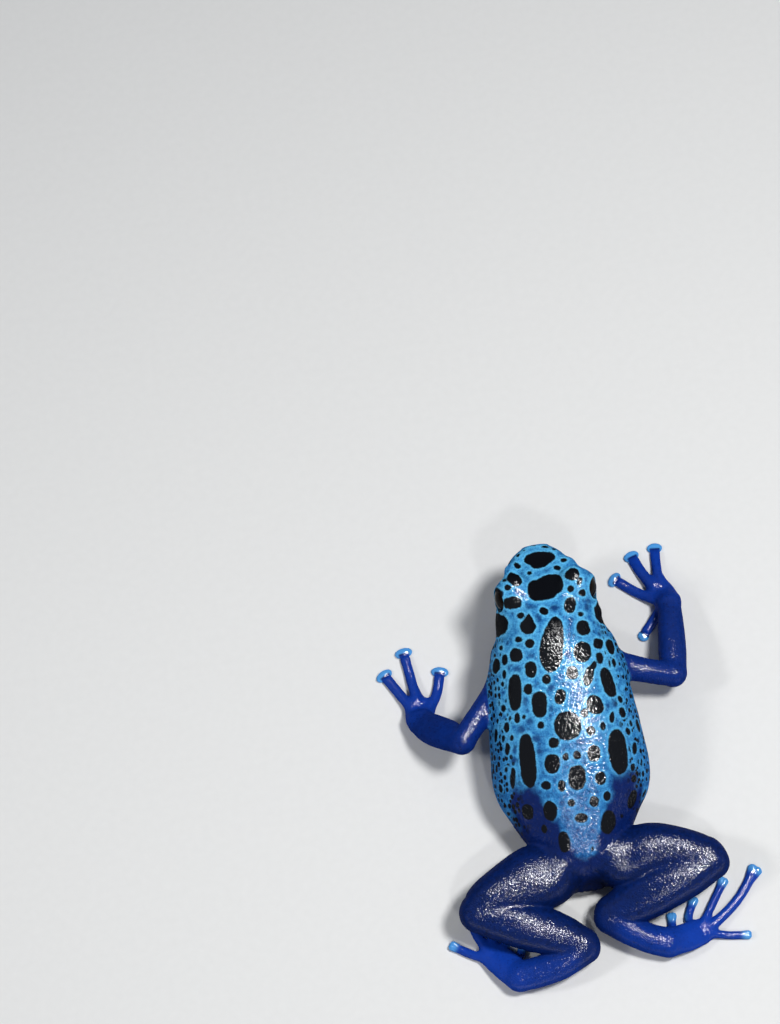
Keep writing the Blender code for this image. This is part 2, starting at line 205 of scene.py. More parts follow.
def body_loft(sides=104, step=0.1):
    rows = curve(BODY, np.arange(0, len(BODY) - 1 + 1e-9, step))
    middle, above, below, power, bow = profile(*rows.T)
    a = 2 * math.pi * (np.arange(sides) + 0.5) / sides
    c, s = np.cos(a)[None], np.sin(a)[None]
    power = power[:, None]
    out = bow[:, None] + rows[:, 1:2] * np.sign(c) * np.abs(c) ** power
    reach = np.where(s > 0, above[:, None], below[:, None])
    up = middle[:, None] + reach * np.sign(s) * np.abs(s) ** power
    rings = np.stack([out, np.broadcast_to(rows[:, 0:1], out.shape), up], -1)
    for at, tip in ((0, RUMP_TIP), (-1, SNOUT_TIP)):          # rounded ends
        edge = rings[at]
        middle = edge.mean(0)
        caps = []
        for f in (0.3, 0.55, 0.75, 0.9, 0.97):
            centre = middle + f * (np.array([0.0, tip[0], tip[1]]) - middle)
            caps.append(centre + (edge - middle) * math.sqrt(1 - f * f))
        caps = np.array(caps)
        rings = np.concatenate([caps[::-1], rings]) if at == 0 else np.concatenate([rings, caps])
    flat = from_body(rings[..., 0], rings[..., 1], rings[..., 2])
    return loft(flat, from_body(*np.array([0.0, *RUMP_TIP])), from_body(*np.array([0.0, *SNOUT_TIP])))


def tube_loft(stations, sides=60, step=0.1):
    """Elliptical tube through stations (x, y, z, half width, half thickness)."""
    p = np.asarray(stations, float).copy()
    p[:, :3] -= CENTRE
    last = len(p) - 1
    t = np.arange(0, last + 1e-9, step)
    rows = curve(p, t)
    q = np.linspace(0.12, 1.45, 8)

    def ring(row, at, scale=1.0, shift=0.0):
        a, b = curve(p, max(0.0, at - 0.02))[0, :3], curve(p, min(last, at + 0.02))[0, :3]
        along = (b - a) / np.linalg.norm(b - a)
        side = np.cross(along, (0, 0, 1.0))
        side /= np.linalg.norm(side)
        up = np.cross(side, along)
        w = 2 * math.pi * (np.arange(sides) + 0.5) / sides
        return (row[:3] + along * shift + side * (np.cos(w) * row[3] * scale)[:, None]
                + up * (np.sin(w) * row[4] * scale)[:, None]), along

    first, final = rows[0], rows[-1]
    r0, r1 = min(first[3:5]), min(final[3:5])
    rings = [ring(first, 0, math.cos(a), -r0 * math.sin(a))[0] for a in q[::-1]]
    rings += [ring(row, at)[0] for at, row in zip(t, rows)]
    rings += [ring(final, last, math.cos(a), r1 * math.sin(a))[0] for a in q]
    start = first[:3] - ring(first, 0)[1] * r0
    end = final[:3] + ring(final, last)[1] * r1
    return loft(rings, start, end)


def digit_stations(base, bend, tip, shaft, disc, reach=1.0):
    rows = curve(DIGIT, np.linspace(0, len(DIGIT) - 1, 22))
    points = curve([base, bend, tip], 2 * rows[:, 0] * reach)
    return np.column_stack([points, shaft + (disc - shaft) * rows[:, 1], DIGIT_THICK * rows[:, 2]])


class Region:
    """One region of the body: signed distance to its loft, negative inside."""

    def __init__(self, verts, tris):
        self.tree = BVHTree.FromPolygons(verts.tolist(), tris.tolist(), all_triangles=True)
        self.low, self.high = verts.min(0), verts.max(0)

    def distance(self, p, reach):
        out = np.full(len(p), 9.0)
        near = np.flatnonzero(((p > self.low - reach) & (p < self.high + reach)).all(1))
        find = self.tree.find_nearest
        for i, point in zip(near.tolist(), p[near].tolist()):
            hit, normal, _, dist = find(point)
            dot = ((point[0] - hit[0]) * normal[0] + (point[1] - hit[1]) * normal[1]
                   + (point[2] - hit[2]) * normal[2])
            out[i] = dist if dot > 0 else -dist
        return out


regions = {"body": Region(*body_loft())}
for name, stations in LIMBS.items():
    regions[name] = Region(*tube_loft(stations))
TIPS = []                                   # digit ends: tip, direction, disc half width
for name, parts in PAWS.items():
    regions[name] = Region(*tube_loft(parts["palm"]))
    for i, row in enumerate(parts["digits"]):
        if "hand" in name:                      # the discs of the hands are added to the shafts
            long = math.dist(row[0], row[1]) + math.dist(row[1], row[2])
            stations = digit_stations(*row[:4], row[3] * 1.02, 1 - 0.70 / long)
        else:
            stations = digit_stations(*row)
        regions["%s_%d" % (name, i)] = Region(*tube_loft(stations, 28, 0.5))
        a, b = curve(row[:3], 1.86)[0], curve(row[:3], 1.97)[0]
        TIPS.append((np.array(row[2]) - CENTRE, (b - a) / np.linalg.norm(b - a), row[4], name))


# ------------------------------------------------------------- distance field
def join(a, b, k):
    """Union of two shapes with a fillet about k wide."""
    h = np.maximum(k - np.abs(a - b), 0.0)
    return np.minimum(a, b) - h * h / (4 * k)


def cut(a, b, k):
    return -join(-a, b, k)


def capsule(p, a, b, ra, rb):
    a, b = np.asarray(a), np.asarray(b)
    d = b - a
    t = np.clip(((p - a) @ d) / (d @ d), 0, 1)
    return np.linalg.norm(p - a - t[:, None] * d, axis=1) - (ra + (rb - ra) * t)


def knee(p, x, y, z, low, high, width):
    """Fillet that is wide at a joint and narrow away from it."""
    r = np.linalg.norm(p - (np.array([x, y, z]) - CENTRE), axis=1)
    return low + (high - low) * np.exp(-(r / width) ** 2)


JOINTS = {"left": {"knee": (-14.9, -4.6, 5.5), "heel": (-1.7, -10.3, 3.3), "vent": (-1.9, -0.7, 3.6)},
          "right": {"knee": (15.8, -1.8, 5.5), "heel": (2.0, -6.7, 3.3), "vent": (1.9, -0.7, 3.6)}}


def eye_frame(out, along, up, side):
    """Distance from the eye's centre and place across its opening."""
    dx, dy, dz = side * out - EYE[0], along - EYE[1], up - EYE[2]
    el, az = math.radians(14.0), math.radians(-11.0)
    pa = dx * math.cos(el) * math.cos(az) + dy * math.cos(el) * math.sin(az) + dz * math.sin(el)
    ph = -dx * math.sin(az) + dy * math.cos(az)
    pv = -dx * math.sin(el) * math.cos(az) - dy * math.sin(el) * math.sin(az) + dz * math.cos(el)
    return np.sqrt(dx * dx + dy * dy + dz * dz), pa, ph, pv


def mouth_height(along):
    """Height of the mouth line on the side of the head."""
    return -1.75 - 0.42 * smooth(43.0, 36.0, along) - 0.35 * smooth(36.0, 33.4, along)


def opening(ph, pv):
    """Distance from the rim of the gap between the lids, negative inside."""
    return (np.sqrt((ph / 1.42) ** 2 + (pv / np.where(pv > 0, 1.78, 1.40)) ** 2) - 1) * 1.42


def head_shape(d, p):
    """Brows, lids, canthus, nostrils, mouth and eardrums."""
    near = np.flatnonzero(p[:, 1] + CENTRE[1] > 27.0)
    if not len(near):
        return d
    q, h = p[near], d[near]
    out, along, up = to_body(q)
    place = np.stack([out, along, up], -1)
    for side in (-1, 1):
        c = np.stack([(side * out - LID[0]) / LID_RADII[0], (along - LID[1]) / LID_RADII[1],
                      (up - LID[2]) / LID_RADII[2]], -1)
        k0 = np.linalg.norm(c, axis=1)
        k1 = np.linalg.norm(c / np.array(LID_RADII), axis=1)
        h = join(h, k0 * (k0 - 1) / np.maximum(k1, 1e-6), 0.8)
        r, pa, ph, pv = eye_frame(out, along, up, side)
        h = join(h, r - (EYE_RADIUS + 0.22), 0.7)
        # ridge from the eye to the nostril, and the hollow below it
        h = join(h, capsule(place, (side * 4.80, 38.6, 2.0), (side * 3.80, 40.3, 1.1), 0.66, 0.64), 0.8)
        h = join(h, capsule(place, (side * 3.80, 40.3, 1.1), (side * 2.25, 41.8, 0.1), 0.64, 0.42), 0.8)
        h = h + 0.16 * hump(np.sqrt((side * out - 5.2) ** 2 + (along - 40.2) ** 2
                                    + (up + 1.2) ** 2), 1.1)
        # corner behind the eye, and the fold above the eardrum
        h = join(h, capsule(place, (side * 5.75, 35.1, 2.6), (side * 6.35, 33.5, 1.7), 0.42, 0.40), 0.7)
        # opening between the lids, rounded at its rim
        across = opening(ph, pv)
        hole = np.maximum(np.maximum(across, 1.95 - r), 0.2 - pa)
        h = np.where(pa > 0, cut(h, hole, 0.16), h)
        # lower lid: a soft fold under the eye
        h = h - 0.06 * hump(r - 2.75, 0.30) * smooth(-0.9, -1.6, pv) * smooth(0.6, 1.4, pa)
        h = h + 0.08 * hump(r - 3.25, 0.22) * smooth(-0.6, -1.6, pv) * smooth(0.4, 1.2, pa)
        # nostril: a pit with a raised rim
        n = np.linalg.norm(place - np.array([side * 2.62, 42.15, -0.35]), axis=1)
        h = h - 0.05 * hump(n - 0.46, 0.20) + 0.30 * hump(n, 0.24)
        # eardrum
        e = np.sqrt((along - 33.5) ** 2 + (up - 0.3) ** 2)
        beside = smooth(4.6, 5.6, side * out)
        h = h + beside * (0.075 * hump(e - 0.85, 0.16) + 0.04 * smooth(0.8, 0.2, e))
    line = up - mouth_height(along)
    lips = smooth(33.0, 34.0, along)
    h = h + lips * (0.17 * hump(line, 0.13) - 0.05 * hump(line - 0.38, 0.28)
                    - 0.03 * hump(line + 0.35, 0.25))
    d = d.copy()
    d[near] = h
    return d


def relief(d, p):
    """Larger forms of the skin: hips, shoulders, folds at the groin, vent wrinkles."""
    out, along, up = to_body(p)
    top = smooth(0.5, 4.0, up)
    side = np.abs(out + 0.1)
    hips = smooth(15.0, 8.5, along) * smooth(-1.0, 2.0, along) * top
    d = d + 0.42 * hips * hump(side - (5.2 + 0.10 * along), 1.7)
    d = d - 0.16 * hips * hump(side - 2.6, 1.3)
    d = d + 0.10 * smooth(20.0, 14.0, along) * smooth(4.0, 8.0, along) * top * hump(side, 1.2)
    d = d + 0.22 * hump(along - 31.6, 1.6) * hump(side - 5.3, 1.8) * smooth(1.0, 4.0, up)
    d = d - 0.14 * hump(along - 26.5, 2.6) * hump(side - 5.0, 2.0) * top
    d = d - 0.38 * hump(along - 5.9, 2.4) * smooth(4.2, 6.4, -out) * smooth(-5.0, -2.0, up)
    ledge = along - (2.15 + 0.16 * out ** 2)
    d = d + 0.16 * hump(ledge + 0.1, 0.42) * hump(out, 2.4) * smooth(5.5, 6.8, up)
    rear = hump(out, 3.2) * smooth(1.2, -0.6, along) * smooth(5.4, 3.6, up)
    d = d + 0.07 * rear * np.sin(out * 2 * math.pi / 0.85 + 0.6 * np.sin(up * 1.7))
    wave = (np.sin(0.9 * p[:, 0] + 1.3 * np.sin(0.45 * p[:, 1])) * np.sin(0.8 * p[:, 1] + 0.7 * p[:, 2])
            + 0.6 * np.sin(1.9 * p[:, 1] + 1.1 * np.sin(0.8 * p[:, 0] + 1.0)) * np.sin(1.7 * p[:, 0] - 0.9 * p[:, 2]))
    return d + 0.022 * wave * smooth(0.4, 2.0, p[:, 2])


def digit_ends(d, p):
    """The pair of small plates on top of each disc, and the groove between them."""
    d = d.copy()
    for tip, along, disc, name in TIPS:
        near = np.flatnonzero((np.abs(p[:, 0] - tip[0]) < 2.5) & (np.abs(p[:, 1] - tip[1]) < 2.5)
                              & (p[:, 2] < 2.0))
        if not len(near):
            continue
        q = p[near] - tip
        la = q[:, 0] * along[0] + q[:, 1] * along[1]
        ls = -q[:, 0] * along[1] + q[:, 1] * along[0]
        top = smooth(-0.05, 0.2, q[:, 2])
        plate = hump(np.abs(ls) - 0.45 * disc, 0.34 * disc) * hump(la + 0.12, 0.42)
        groove = hump(ls, 0.13) * hump(la + 0.2, 0.55)
        neck = hump(la + 1.0, 0.28)
        if "foot" in name:
            d[near] += top * (0.09 * groove + 0.05 * neck - 0.10 * plate)
            continue
        # hand: a flat disc that stands out round the end of the shaft
        round_ = np.sqrt(((la + 0.04) / 0.72) ** 2 + (ls / (disc * 1.04)) ** 2 + ((q[:, 2] + tip[2] - 0.26) / 0.40) ** 2)
        d[near] = join(d[near] + top * 0.04 * groove, (round_ - 1) * 0.40, 0.16)
    return d


def snout_turn(along):
    """How far the snout leans to the left."""
    return 0.36 * smooth(38.2, 42.4, along)


def field(p, reach=1.6, parts=False):
    """Signed distance from points to the skin, and to the body and limbs alone."""
    straight = p.copy()
    straight[:, 0] += snout_turn(to_body(p)[1])
    d = {name: region.distance(straight if name == "body" else p, reach)
         for name, region in regions.items()}
    body = head_shape(d["body"], straight)
    whole, limbs = body, np.full(len(p), 9.0)
    for side in ("left", "right"):
        j = JOINTS[side]
        arm = join(d["upper_arm_" + side], d["forearm_" + side], 0.6)
        paw = d["hand_" + side]
        for i in range(4):
            paw = join(paw, d["hand_%s_%d" % (side, i)], 0.5)
        if side == "left":                      # web between the two outer fingers
            paw = join(paw, capsule(p + CENTRE, (-18.75, 28.0, 0.42), (-18.05, 26.2, 0.48),
                                     0.42, 0.50), 0.6)
        arm = join(arm, paw, 1.0)
        foot = d["foot_" + side]
        for i in range(5):
            foot = join(foot, d["foot_%s_%d" % (side, i)], 0.45)
        leg = join(d["shank_" + side], d["tarsus_" + side], knee(p, *j["heel"], 0.18, 1.0, 2.4))
        leg = join(leg, foot, knee(p, *PAWS["foot_" + side]["palm"][0][:3], 0.15, 0.7, 2.6))
        leg = join(leg, d["thigh_" + side], knee(p, *j["knee"], 0.20, 1.3, 2.6))
        limbs = np.minimum(limbs, np.minimum(arm, leg))
        whole = join(whole, arm, 1.0)
        whole = join(whole, leg, knee(p, *j["vent"], 0.45, 1.5, 4.0))
    whole = digit_ends(relief(whole, p), p)
    whole = np.maximum(whole, -p[:, 2])
    return (whole, body, limbs, d) if parts else (whole, body, limbs)


# ------------------------------------------------------------------ skin mesh
def grid_points(low, spacing, index):
    return low + np.stack(index, -1) * spacing


def skin_net(spacing):
    """Surface net of the field: vertices and quads, from a band of grid points."""
    low = np.array([-24.2, -30.4, -1.0])
    high = np.array([24.2, 30.4, 18.2])
    coarse = spacing * 4
    shape = np.ceil((high - low) / coarse).astype(int) + 1
    index = np.indices(shape).reshape(3, -1)
    d = field(grid_points(low, coarse, index), 2.4)[0].reshape(shape)
    keep = np.abs(d) < coarse * 0.95 + spacing
    fine_shape = (shape - 1) * 4 + 1
    band = np.zeros(fine_shape, bool)
    for i, j, k in np.ndindex(5, 5, 5):
        where = [np.clip(np.flatnonzero(np.ones(s)) * 4 + o - 2, 0, f - 1)
                 for s, o, f in zip(shape, (i, j, k), fine_shape)]
        band[np.ix_(*where)] |= keep
    index = np.array(np.nonzero(band))
    f = np.full(fine_shape, np.nan)
    f[band] = field(grid_points(low, spacing, index), 1.4)[0]
    f[f == 0] = 1e-6
    inside = f < 0
    # cells crossed by the surface
    corners = [np.s_[i:fine_shape[0] - 1 + i, j:fine_shape[1] - 1 + j, k:fine_shape[2] - 1 + k]
               for i, j, k in np.ndindex(2, 2, 2)]
    count = sum(inside[c].astype(np.int8) for c in corners)
    known = np.logical_and.reduce([np.isfinite(f[c]) for c in corners])
    active = known & (count > 0) & (count < 8)
    cells = np.array(np.nonzero(active))
    total, hits = np.zeros((cells.shape[1], 3)), np.zeros(cells.shape[1])
    for axis in range(3):
        step = np.eye(3, dtype=int)[axis]
        for o in np.ndindex(2, 2, 2):
            if o[axis]:
                continue
            a = cells + np.array(o)[:, None]
            b = a + step[:, None]
            fa, fb = f[tuple(a)], f[tuple(b)]
            m = (fa < 0) != (fb < 0)
            t = np.where(m, fa / np.where(m, fa - fb, 1.0), 0.0)
            total[m] += (a.T + t[:, None] * step)[m]
            hits[m] += 1
    verts = low + total / hits[:, None] * spacing
    number = np.full(active.shape, -1)
    number[active] = np.arange(cells.shape[1])
    quads = []
    for axis in range(3):
        step = np.eye(3, dtype=int)[axis]
        u, v = [np.eye(3, dtype=int)[(axis + i) % 3] for i in (1, 2)]
        sl0 = tuple(slice(1, n - 1) for n in fine_shape)
        sl1 = tuple(slice(1 + s, n - 1 + s) for n, s in zip(fine_shape, step))
        a, b = f[sl0], f[sl1]
        for flip, mask in ((False, (a < 0) & (b > 0)), (True, (a > 0) & (b < 0))):
            e = np.array(np.nonzero(mask)) + 1
            ring = [e - u[:, None] - v[:, None], e - v[:, None], e, e - u[:, None]]
            ids = np.stack([number[tuple(c)] for c in ring], -1)
            ids = ids[(ids >= 0).all(1)]
            quads.append(ids[:, ::-1] if flip else ids)
    return outer(verts, np.vstack(quads))


def outer(verts, quads):
    """The largest connected piece, without a bubble closed off inside the flesh."""
    edges = np.sort(np.stack([quads, np.roll(quads, -1, 1)], -1), -1).reshape(-1, 2)
    count, order = np.unique(edges[:, 0] * len(verts) + edges[:, 1],
                             return_inverse=True, return_counts=True)[2:0:-1]
    first = (np.cumsum(count) - count)[count == 2]
    pair = np.argsort(order.ravel(), kind="stable")[first[:, None] + [0, 1]] // 4
    mark = np.arange(len(quads))
    while True:
        low, new = mark[pair].min(1), mark.copy()
        np.minimum.at(new, pair[:, 0], low)
        np.minimum.at(new, pair[:, 1], low)
        new = new[new]
        if (new == mark).all():
            break
        mark = new
    used, quads = np.unique(quads[mark == np.bincount(mark).argmax()], return_inverse=True)
    return verts[used], quads.reshape(-1, 4)


def vertex_normals(verts, faces):
    n = np.zeros_like(verts)
    if faces.shape[1] == 4:
        m = np.cross(verts[faces[:, 2]] - verts[faces[:, 0]], verts[faces[:, 3]] - verts[faces[:, 1]])
    else:
        m = np.cross(verts[faces[:, 1]] - verts[faces[:, 0]], verts[faces[:, 2]] - verts[faces[:, 0]])
    for k in range(faces.shape[1]):
        for axis in range(3):
            n[:, axis] += np.bincount(faces[:, k], m[:, axis], len(verts))
    return n / np.maximum(np.linalg.norm(n, axis=1), 1e-12)[:, None]


def relax(verts, faces, amount, still=None):
    """Slide the vertices along the surface towards even spacing."""
    edges = np.vstack([faces[:, [k, (k + 1) % faces.shape[1]]] for k in range(faces.shape[1])])
    total, count = np.zeros_like(verts), np.bincount(edges.ravel(), minlength=len(verts))
    for a, b in ((0, 1), (1, 0)):
        for axis in range(3):
            total[:, axis] += np.bincount(edges[:, a], verts[edges[:, b], axis], len(verts))
    move = total / np.maximum(count, 1)[:, None] - verts
    n = vertex_normals(verts, faces)
    move -= np.einsum("ij,ij->i", move, n)[:, None] * n
    if still is not None:
        move[still] = 0
    return verts + amount * move


def settle(verts, faces, rounds, which=None):
    """Pull vertices onto the zero surface along their normals."""
    verts = verts.copy()
    for _ in range(rounds):
        n = vertex_normals(verts, faces)
        if which is None:
            d = field(verts, 1.4)[0]
            verts -= np.clip(d, -0.25, 0.25)[:, None] * n
        else:
            d = field(verts[which], 1.4)[0]
            verts[which] -= np.clip(d, -0.2, 0.2)[:, None] * n[which]
    return verts


def triangles(faces):
    return np.vstack([faces[:, [0, 1, 2]], faces[:, [0, 2, 3]]]) if faces.shape[1] == 4 else faces


def mesh_object(name, verts, faces):
    mesh = bpy.data.meshes.new(name)
    mesh.from_pydata((verts * MM).tolist(), [], faces.tolist() if hasattr(faces, "tolist") else faces)
    mesh.update()
    obj = bpy.data.objects.new(name, mesh)
    bpy.context.scene.collection.objects.link(obj)
    return obj


def finer(verts, faces, chosen):
    """Split the chosen faces in four; their neighbours are split to fit."""
    obj = mesh_object("refine", verts, faces)
    bm = bmesh.new()
    bm.from_mesh(obj.data)
    bm.faces.ensure_lookup_table()
    edges = list({e for i in np.flatnonzero(chosen).tolist() for e in bm.faces[i].edges})
    bmesh.ops.subdivide_edges(bm, edges=edges, cuts=1, use_grid_fill=True)
    bmesh.ops.triangulate(bm, faces=[f for f in bm.faces if len(f.verts) > 4])
    mesh = obj.data
    bm.to_mesh(mesh)
    bm.free()
    v = np.empty(len(mesh.vertices) * 3)
    mesh.vertices.foreach_get("co", v)
    polys = [tuple(poly.vertices) for poly in mesh.polygons]
    bpy.data.objects.remove(obj)
    bpy.data.meshes.remove(mesh)
    return v.reshape(-1, 3) / MM, polys


def padded_faces(polys):
    """Faces as one array; a triangle repeats its last corner."""
    return np.array([p if len(p) == 4 else (*p, p[2]) for p in polys])


# ------------------------------------------------------------------- markings
# Black spots as they lie in the photograph's frame of 780 by 1024: middle across and
# down, width, height, lean to the right in degrees, and squareness (2 is an ellipse)
SPOTS = [
    (532.7, 545.4, 7.1, 1.9, 0, 2), (544.9, 546.9, 7.3, 2.6, 0, 2), (554.1, 548.9, 3.8, 2.4, 0, 2),
    (524.2, 550.3, 2.6, 1.9, 0, 2), (518.3, 555.3, 4.2, 3.5, 0, 2),
    (539.6, 558.4, 31.6, 14.4, -7, 2.3), (538.6, 562.2, 19.0, 14.0, -9, 2.0), (564, 560, 7.1, 4.5, -12, 2),
    (516.8, 565.4, 5.4, 9.4, -50, 2), (557.3, 567.8, 8, 5.7, 0, 2), (529.3, 573, 6.1, 4, 0, 2),
    (572, 574.2, 15.6, 12.3, -20, 2.3), (514, 578.9, 11.8, 17.9, -52, 2.3),
    (504.1, 580.4, 4.2, 3.5, 0, 2), (579.7, 581, 5.4, 8.5, 18, 2),
    (542.6, 589.4, 29.6, 22.6, -10, 3.0), (549.4, 585.0, 27.6, 21.4, -14, 2.8), (508.1, 587.5, 7.3, 6.4, 0, 2),
    (570.3, 588.7, 7.3, 7.1, 0, 2), (581.7, 592.8, 7.8, 7.3, 0, 2),
    (513, 602.8, 18.6, 12.3, 0, 2.3), (569.9, 605.1, 12.5, 16.5, 4, 2.2),
    (544.1, 611.1, 9.4, 7.8, 20, 2), (580.3, 614.3, 6.8, 5.2, 0, 2), (520.7, 615.5, 7.3, 7.3, 0, 2),
    (528.5, 618.6, 3.6, 9.6, 0, 2), (528.3, 620.6, 7.4, 10.6, 0, 2), (528.1, 623.6, 12.2, 13.0, 0, 2), (527.8, 627.3, 16, 13.9, 0, 2),
    (583.2, 627.9, 13.9, 15.6, 0, 2.3), (518.9, 639.5, 7.8, 6.1, 0, 2),
    (529.8, 643.5, 9.7, 9.4, 0, 2), (598, 643.5, 10.1, 11.3, 0, 2.2),
    (551.2, 651.0, 23.4, 42.0, 2, 2.2), (552.9, 642.0, 21.2, 42.0, 4, 2), (554.6, 632.6, 17.6, 32.6, 5, 2), (610.1, 646.5, 8.7, 15.6, -14, 2.2),
    (501, 647.7, 4, 4.7, 0, 2), (582.4, 651.8, 17.9, 20.8, 0, 2.2), (605.3, 653, 2.1, 4, -15, 2),
    (516, 655.3, 13.2, 14.2, 0, 2.2), (599.4, 657.9, 7.6, 12, -10, 2.2),
    (504.5, 660.1, 6.1, 11.6, 0, 2.2), (609.5, 663, 2.4, 7.3, -8, 2),
    (614.1, 663.2, 3.3, 8.3, -6, 2), (614, 663.2, 3.1, 7.7, -6, 2), (609.1, 663.2, 2.1, 7, -6, 2),
    (594, 665.3, 5.9, 9.2, 10, 2), (496.3, 666, 7.8, 14.9, 0, 2.2),
    (530.7, 669.5, 12, 16.5, 0, 2.4), (572, 673, 12.3, 13.9, 0, 2.2), (504.2, 674, 4, 8.3, 0, 2),
    (588.5, 676, 10.1, 20.3, 14, 2.2), (546.3, 679.2, 9.2, 10.0, 0, 2.2),
    (608, 682.5, 12.7, 30.9, -18, 2.4), (502.4, 683.5, 3.6, 6.2, 0, 2),
    (495.7, 688.4, 2, 5.1, 0, 2), (527.8, 689, 8.7, 10.9, 0, 2.2),
    (515, 692.5, 13.7, 36.8, -2, 2.3), (560.3, 696.8, 11.5, 14.9, 14, 2.3),
    (620.3, 699.6, 5.1, 7.9, -20, 2), (498.9, 703.1, 2, 5.6, 0, 2),
    (539.4, 704.5, 15.4, 26.7, -2, 2.3), (595.1, 704.8, 16.3, 19.9, -24, 2.2),
    (503.2, 708.3, 4.8, 7.6, 0, 2), (622.4, 712.3, 6.5, 11.2, -14, 2.2),
    (584.1, 713, 7.9, 9.3, 0, 2), (611.9, 716.9, 5.3, 11.8, 6, 2), (523.6, 717.2, 4.2, 5.1, 0, 2),
    (517.2, 718, 5.9, 10.1, 0, 2), (510.2, 718.6, 3.4, 5.1, 0, 2), (630.7, 722.8, 3.1, 7.3, -14, 2),
    (541.3, 725, 7.3, 7.3, 0, 2), (567.7, 725.7, 26.9, 28.9, 0, 2.2),
    (603.1, 725.9, 5.9, 9.3, 0, 2), (637.9, 725.9, 3.6, 13.5, -12, 2),
    (500.1, 725.9, 1.7, 6.2, 0, 2), (506.8, 727.3, 5.6, 10.7, 0, 2),
    (590.8, 730.6, 9.3, 10.4, 0, 2), (628, 731.5, 5.1, 8.7, -14, 2),
    (495.9, 735.7, 3.1, 13.5, 0, 2), (511.6, 737.8, 4.2, 6.7, 0, 2), (503.3, 738.9, 3.4, 7, 0, 2),
    (553.9, 742.7, 10.7, 10.9, 0, 2), (634.8, 748.3, 5.3, 12.1, 0, 2.2),
    (507.6, 749.2, 5.3, 12.6, 0, 2), (618.2, 751.8, 19.4, 45.2, -6, 2.2),
    (593.9, 753.4, 13.6, 16.8, 0, 2.2), (577.1, 755.2, 7.9, 8.7, 0, 2),
    (566, 756.7, 6.5, 8.1, -8, 2), (527.7, 760.7, 16.3, 53.9, -6, 2.3),
    (641.4, 762.1, 2.1, 7, 0, 2), (552.3, 763.8, 15.7, 19.4, 0, 2.3), (632.9, 767, 5.3, 7.3, 0, 2),
    (506.1, 769.4, 3.4, 6.5, 0, 2), (643, 774, 2.5, 5.9, 0, 2), (577.2, 777.5, 17.7, 25, 4, 2.3),
    (600.7, 778.2, 11.2, 14, 0, 2), (513, 778.2, 5.9, 21.3, 0, 2), (633.8, 778.9, 5.6, 7.6, 0, 2),
    (545.7, 785.4, 10.1, 8.4, 0, 2), (561.4, 785.9, 7.9, 11.5, -10, 2),
    (500.8, 788.7, 3.9, 8.4, -8, 2), (644.6, 792.9, 2.8, 8.1, 6, 2), (607, 796, 7.9, 9.3, 0, 2),
    (632.2, 799.3, 9, 18.5, 10, 2.2), (594.4, 801.6, 9.8, 10.7, 0, 2),
    (571.2, 802.8, 7.3, 8.4, 0, 2), (550.4, 810.8, 13.5, 19.9, -6, 2.2),
    (527.7, 811.9, 11.5, 16.3, -4, 2.2), (508.8, 814, 3.6, 4.8, 0, 2),
    (621.7, 816.2, 3.6, 4.2, 0, 2), (581.3, 817.9, 12.9, 10.1, 0, 2),
    (608.4, 822.1, 14.9, 23.6, 8, 2.2), (544.5, 828.7, 5.9, 8.7, 0, 2),
    (564.2, 842, 11.8, 21, -10, 2.2), (592.2, 849.1, 3.4, 5.9, 0, 2),
]
# Faint dark blue dots between them: the last number is the strength
FAINT = [
    (546.1, 570.4, 5.2, 2.6, 0, 0.4), (517.5, 590.5, 4.2, 6.6, -40, 0.7),
    (502.4, 593.8, 2.8, 5.2, 0, 0.6), (522.1, 594.6, 4.5, 3.1, 0, 0.6),
    (588, 601.1, 5.9, 3.5, 0, 0.5), (586.8, 607.2, 5, 7.8, 0, 0.6),
    (531, 607.2, 11.3, 4.2, 0, 0.55), (554.3, 607.9, 9.9, 5.2, -5, 0.7),
    (538.6, 617.8, 5.2, 8.7, -30, 0.6), (570.8, 619.4, 5.4, 4.2, 0, 0.6),
    (569.9, 625.3, 2.8, 3.8, 0, 0.5), (599.2, 634.1, 3.1, 5.2, -20, 0.6),
    (569.3, 635.3, 2.8, 3.8, 0, 0.5), (507.4, 643, 2.8, 4.7, 0, 0.6),
    (567.7, 653.3, 4.5, 5.9, 0, 0.6), (567.9, 653.6, 5, 5, 0, 0.6), (531, 655.3, 5.2, 3.1, 0, 0.5),
    (531.2, 655.4, 7, 4.8, 0, 0.5), (508.7, 668.3, 2.8, 5, 0, 0.5),
    (517.6, 669.2, 6.2, 4.2, 0, 0.5), (517.5, 669.3, 7.3, 5, 0, 0.5),
    (534.7, 686.3, 5.9, 2.8, 0, 0.4), (551, 687.2, 5, 5.4, 0, 0.6),
    (550.9, 687.7, 5.9, 6.7, 0, 0.55), (524.9, 701, 4.8, 7.3, 0, 0.5),
    (614.7, 703.4, 4.2, 7, 0, 0.6), (608, 705.9, 4.2, 5.6, 0, 0.6),
    (551.3, 708.8, 5.1, 6.2, 0, 0.5), (529.8, 721.4, 7, 5.9, 0, 0.55),
    (521.4, 729.8, 6.5, 7.3, 0, 0.6), (536.1, 738.5, 8.4, 7, 0, 0.55),
    (580.3, 741.7, 8.4, 6.5, 0, 0.45), (514.4, 750.4, 3.6, 5.9, 0, 0.6),
    (539.6, 751.5, 5.6, 6.2, 0, 0.6), (513.7, 760.7, 5.1, 6.5, 0, 0.7),
    (585.2, 763.5, 3.9, 4.5, 0, 0.5), (616.8, 785.2, 9.8, 10.7, 0, 0.7),
    (562.1, 802.8, 4.8, 5.6, 0, 0.55),
]

FOCAL = 100.0 / 36.0 * 1024                    # pixels
EYEPOINT = np.array([-11.628, -94.343, 361.911]) - CENTRE
AXES = np.array([[0.98945541, -0.12588138, -0.07163709],   # right, up, back
                 [0.14363551, 0.9164133, 0.37357128],
                 [0.01862351, -0.37992176, 0.92483113]])
SCALE = 0.1294                                 # mm to a pixel on the frog's back
TURN = 8.77                                    # how far the body leans in the picture

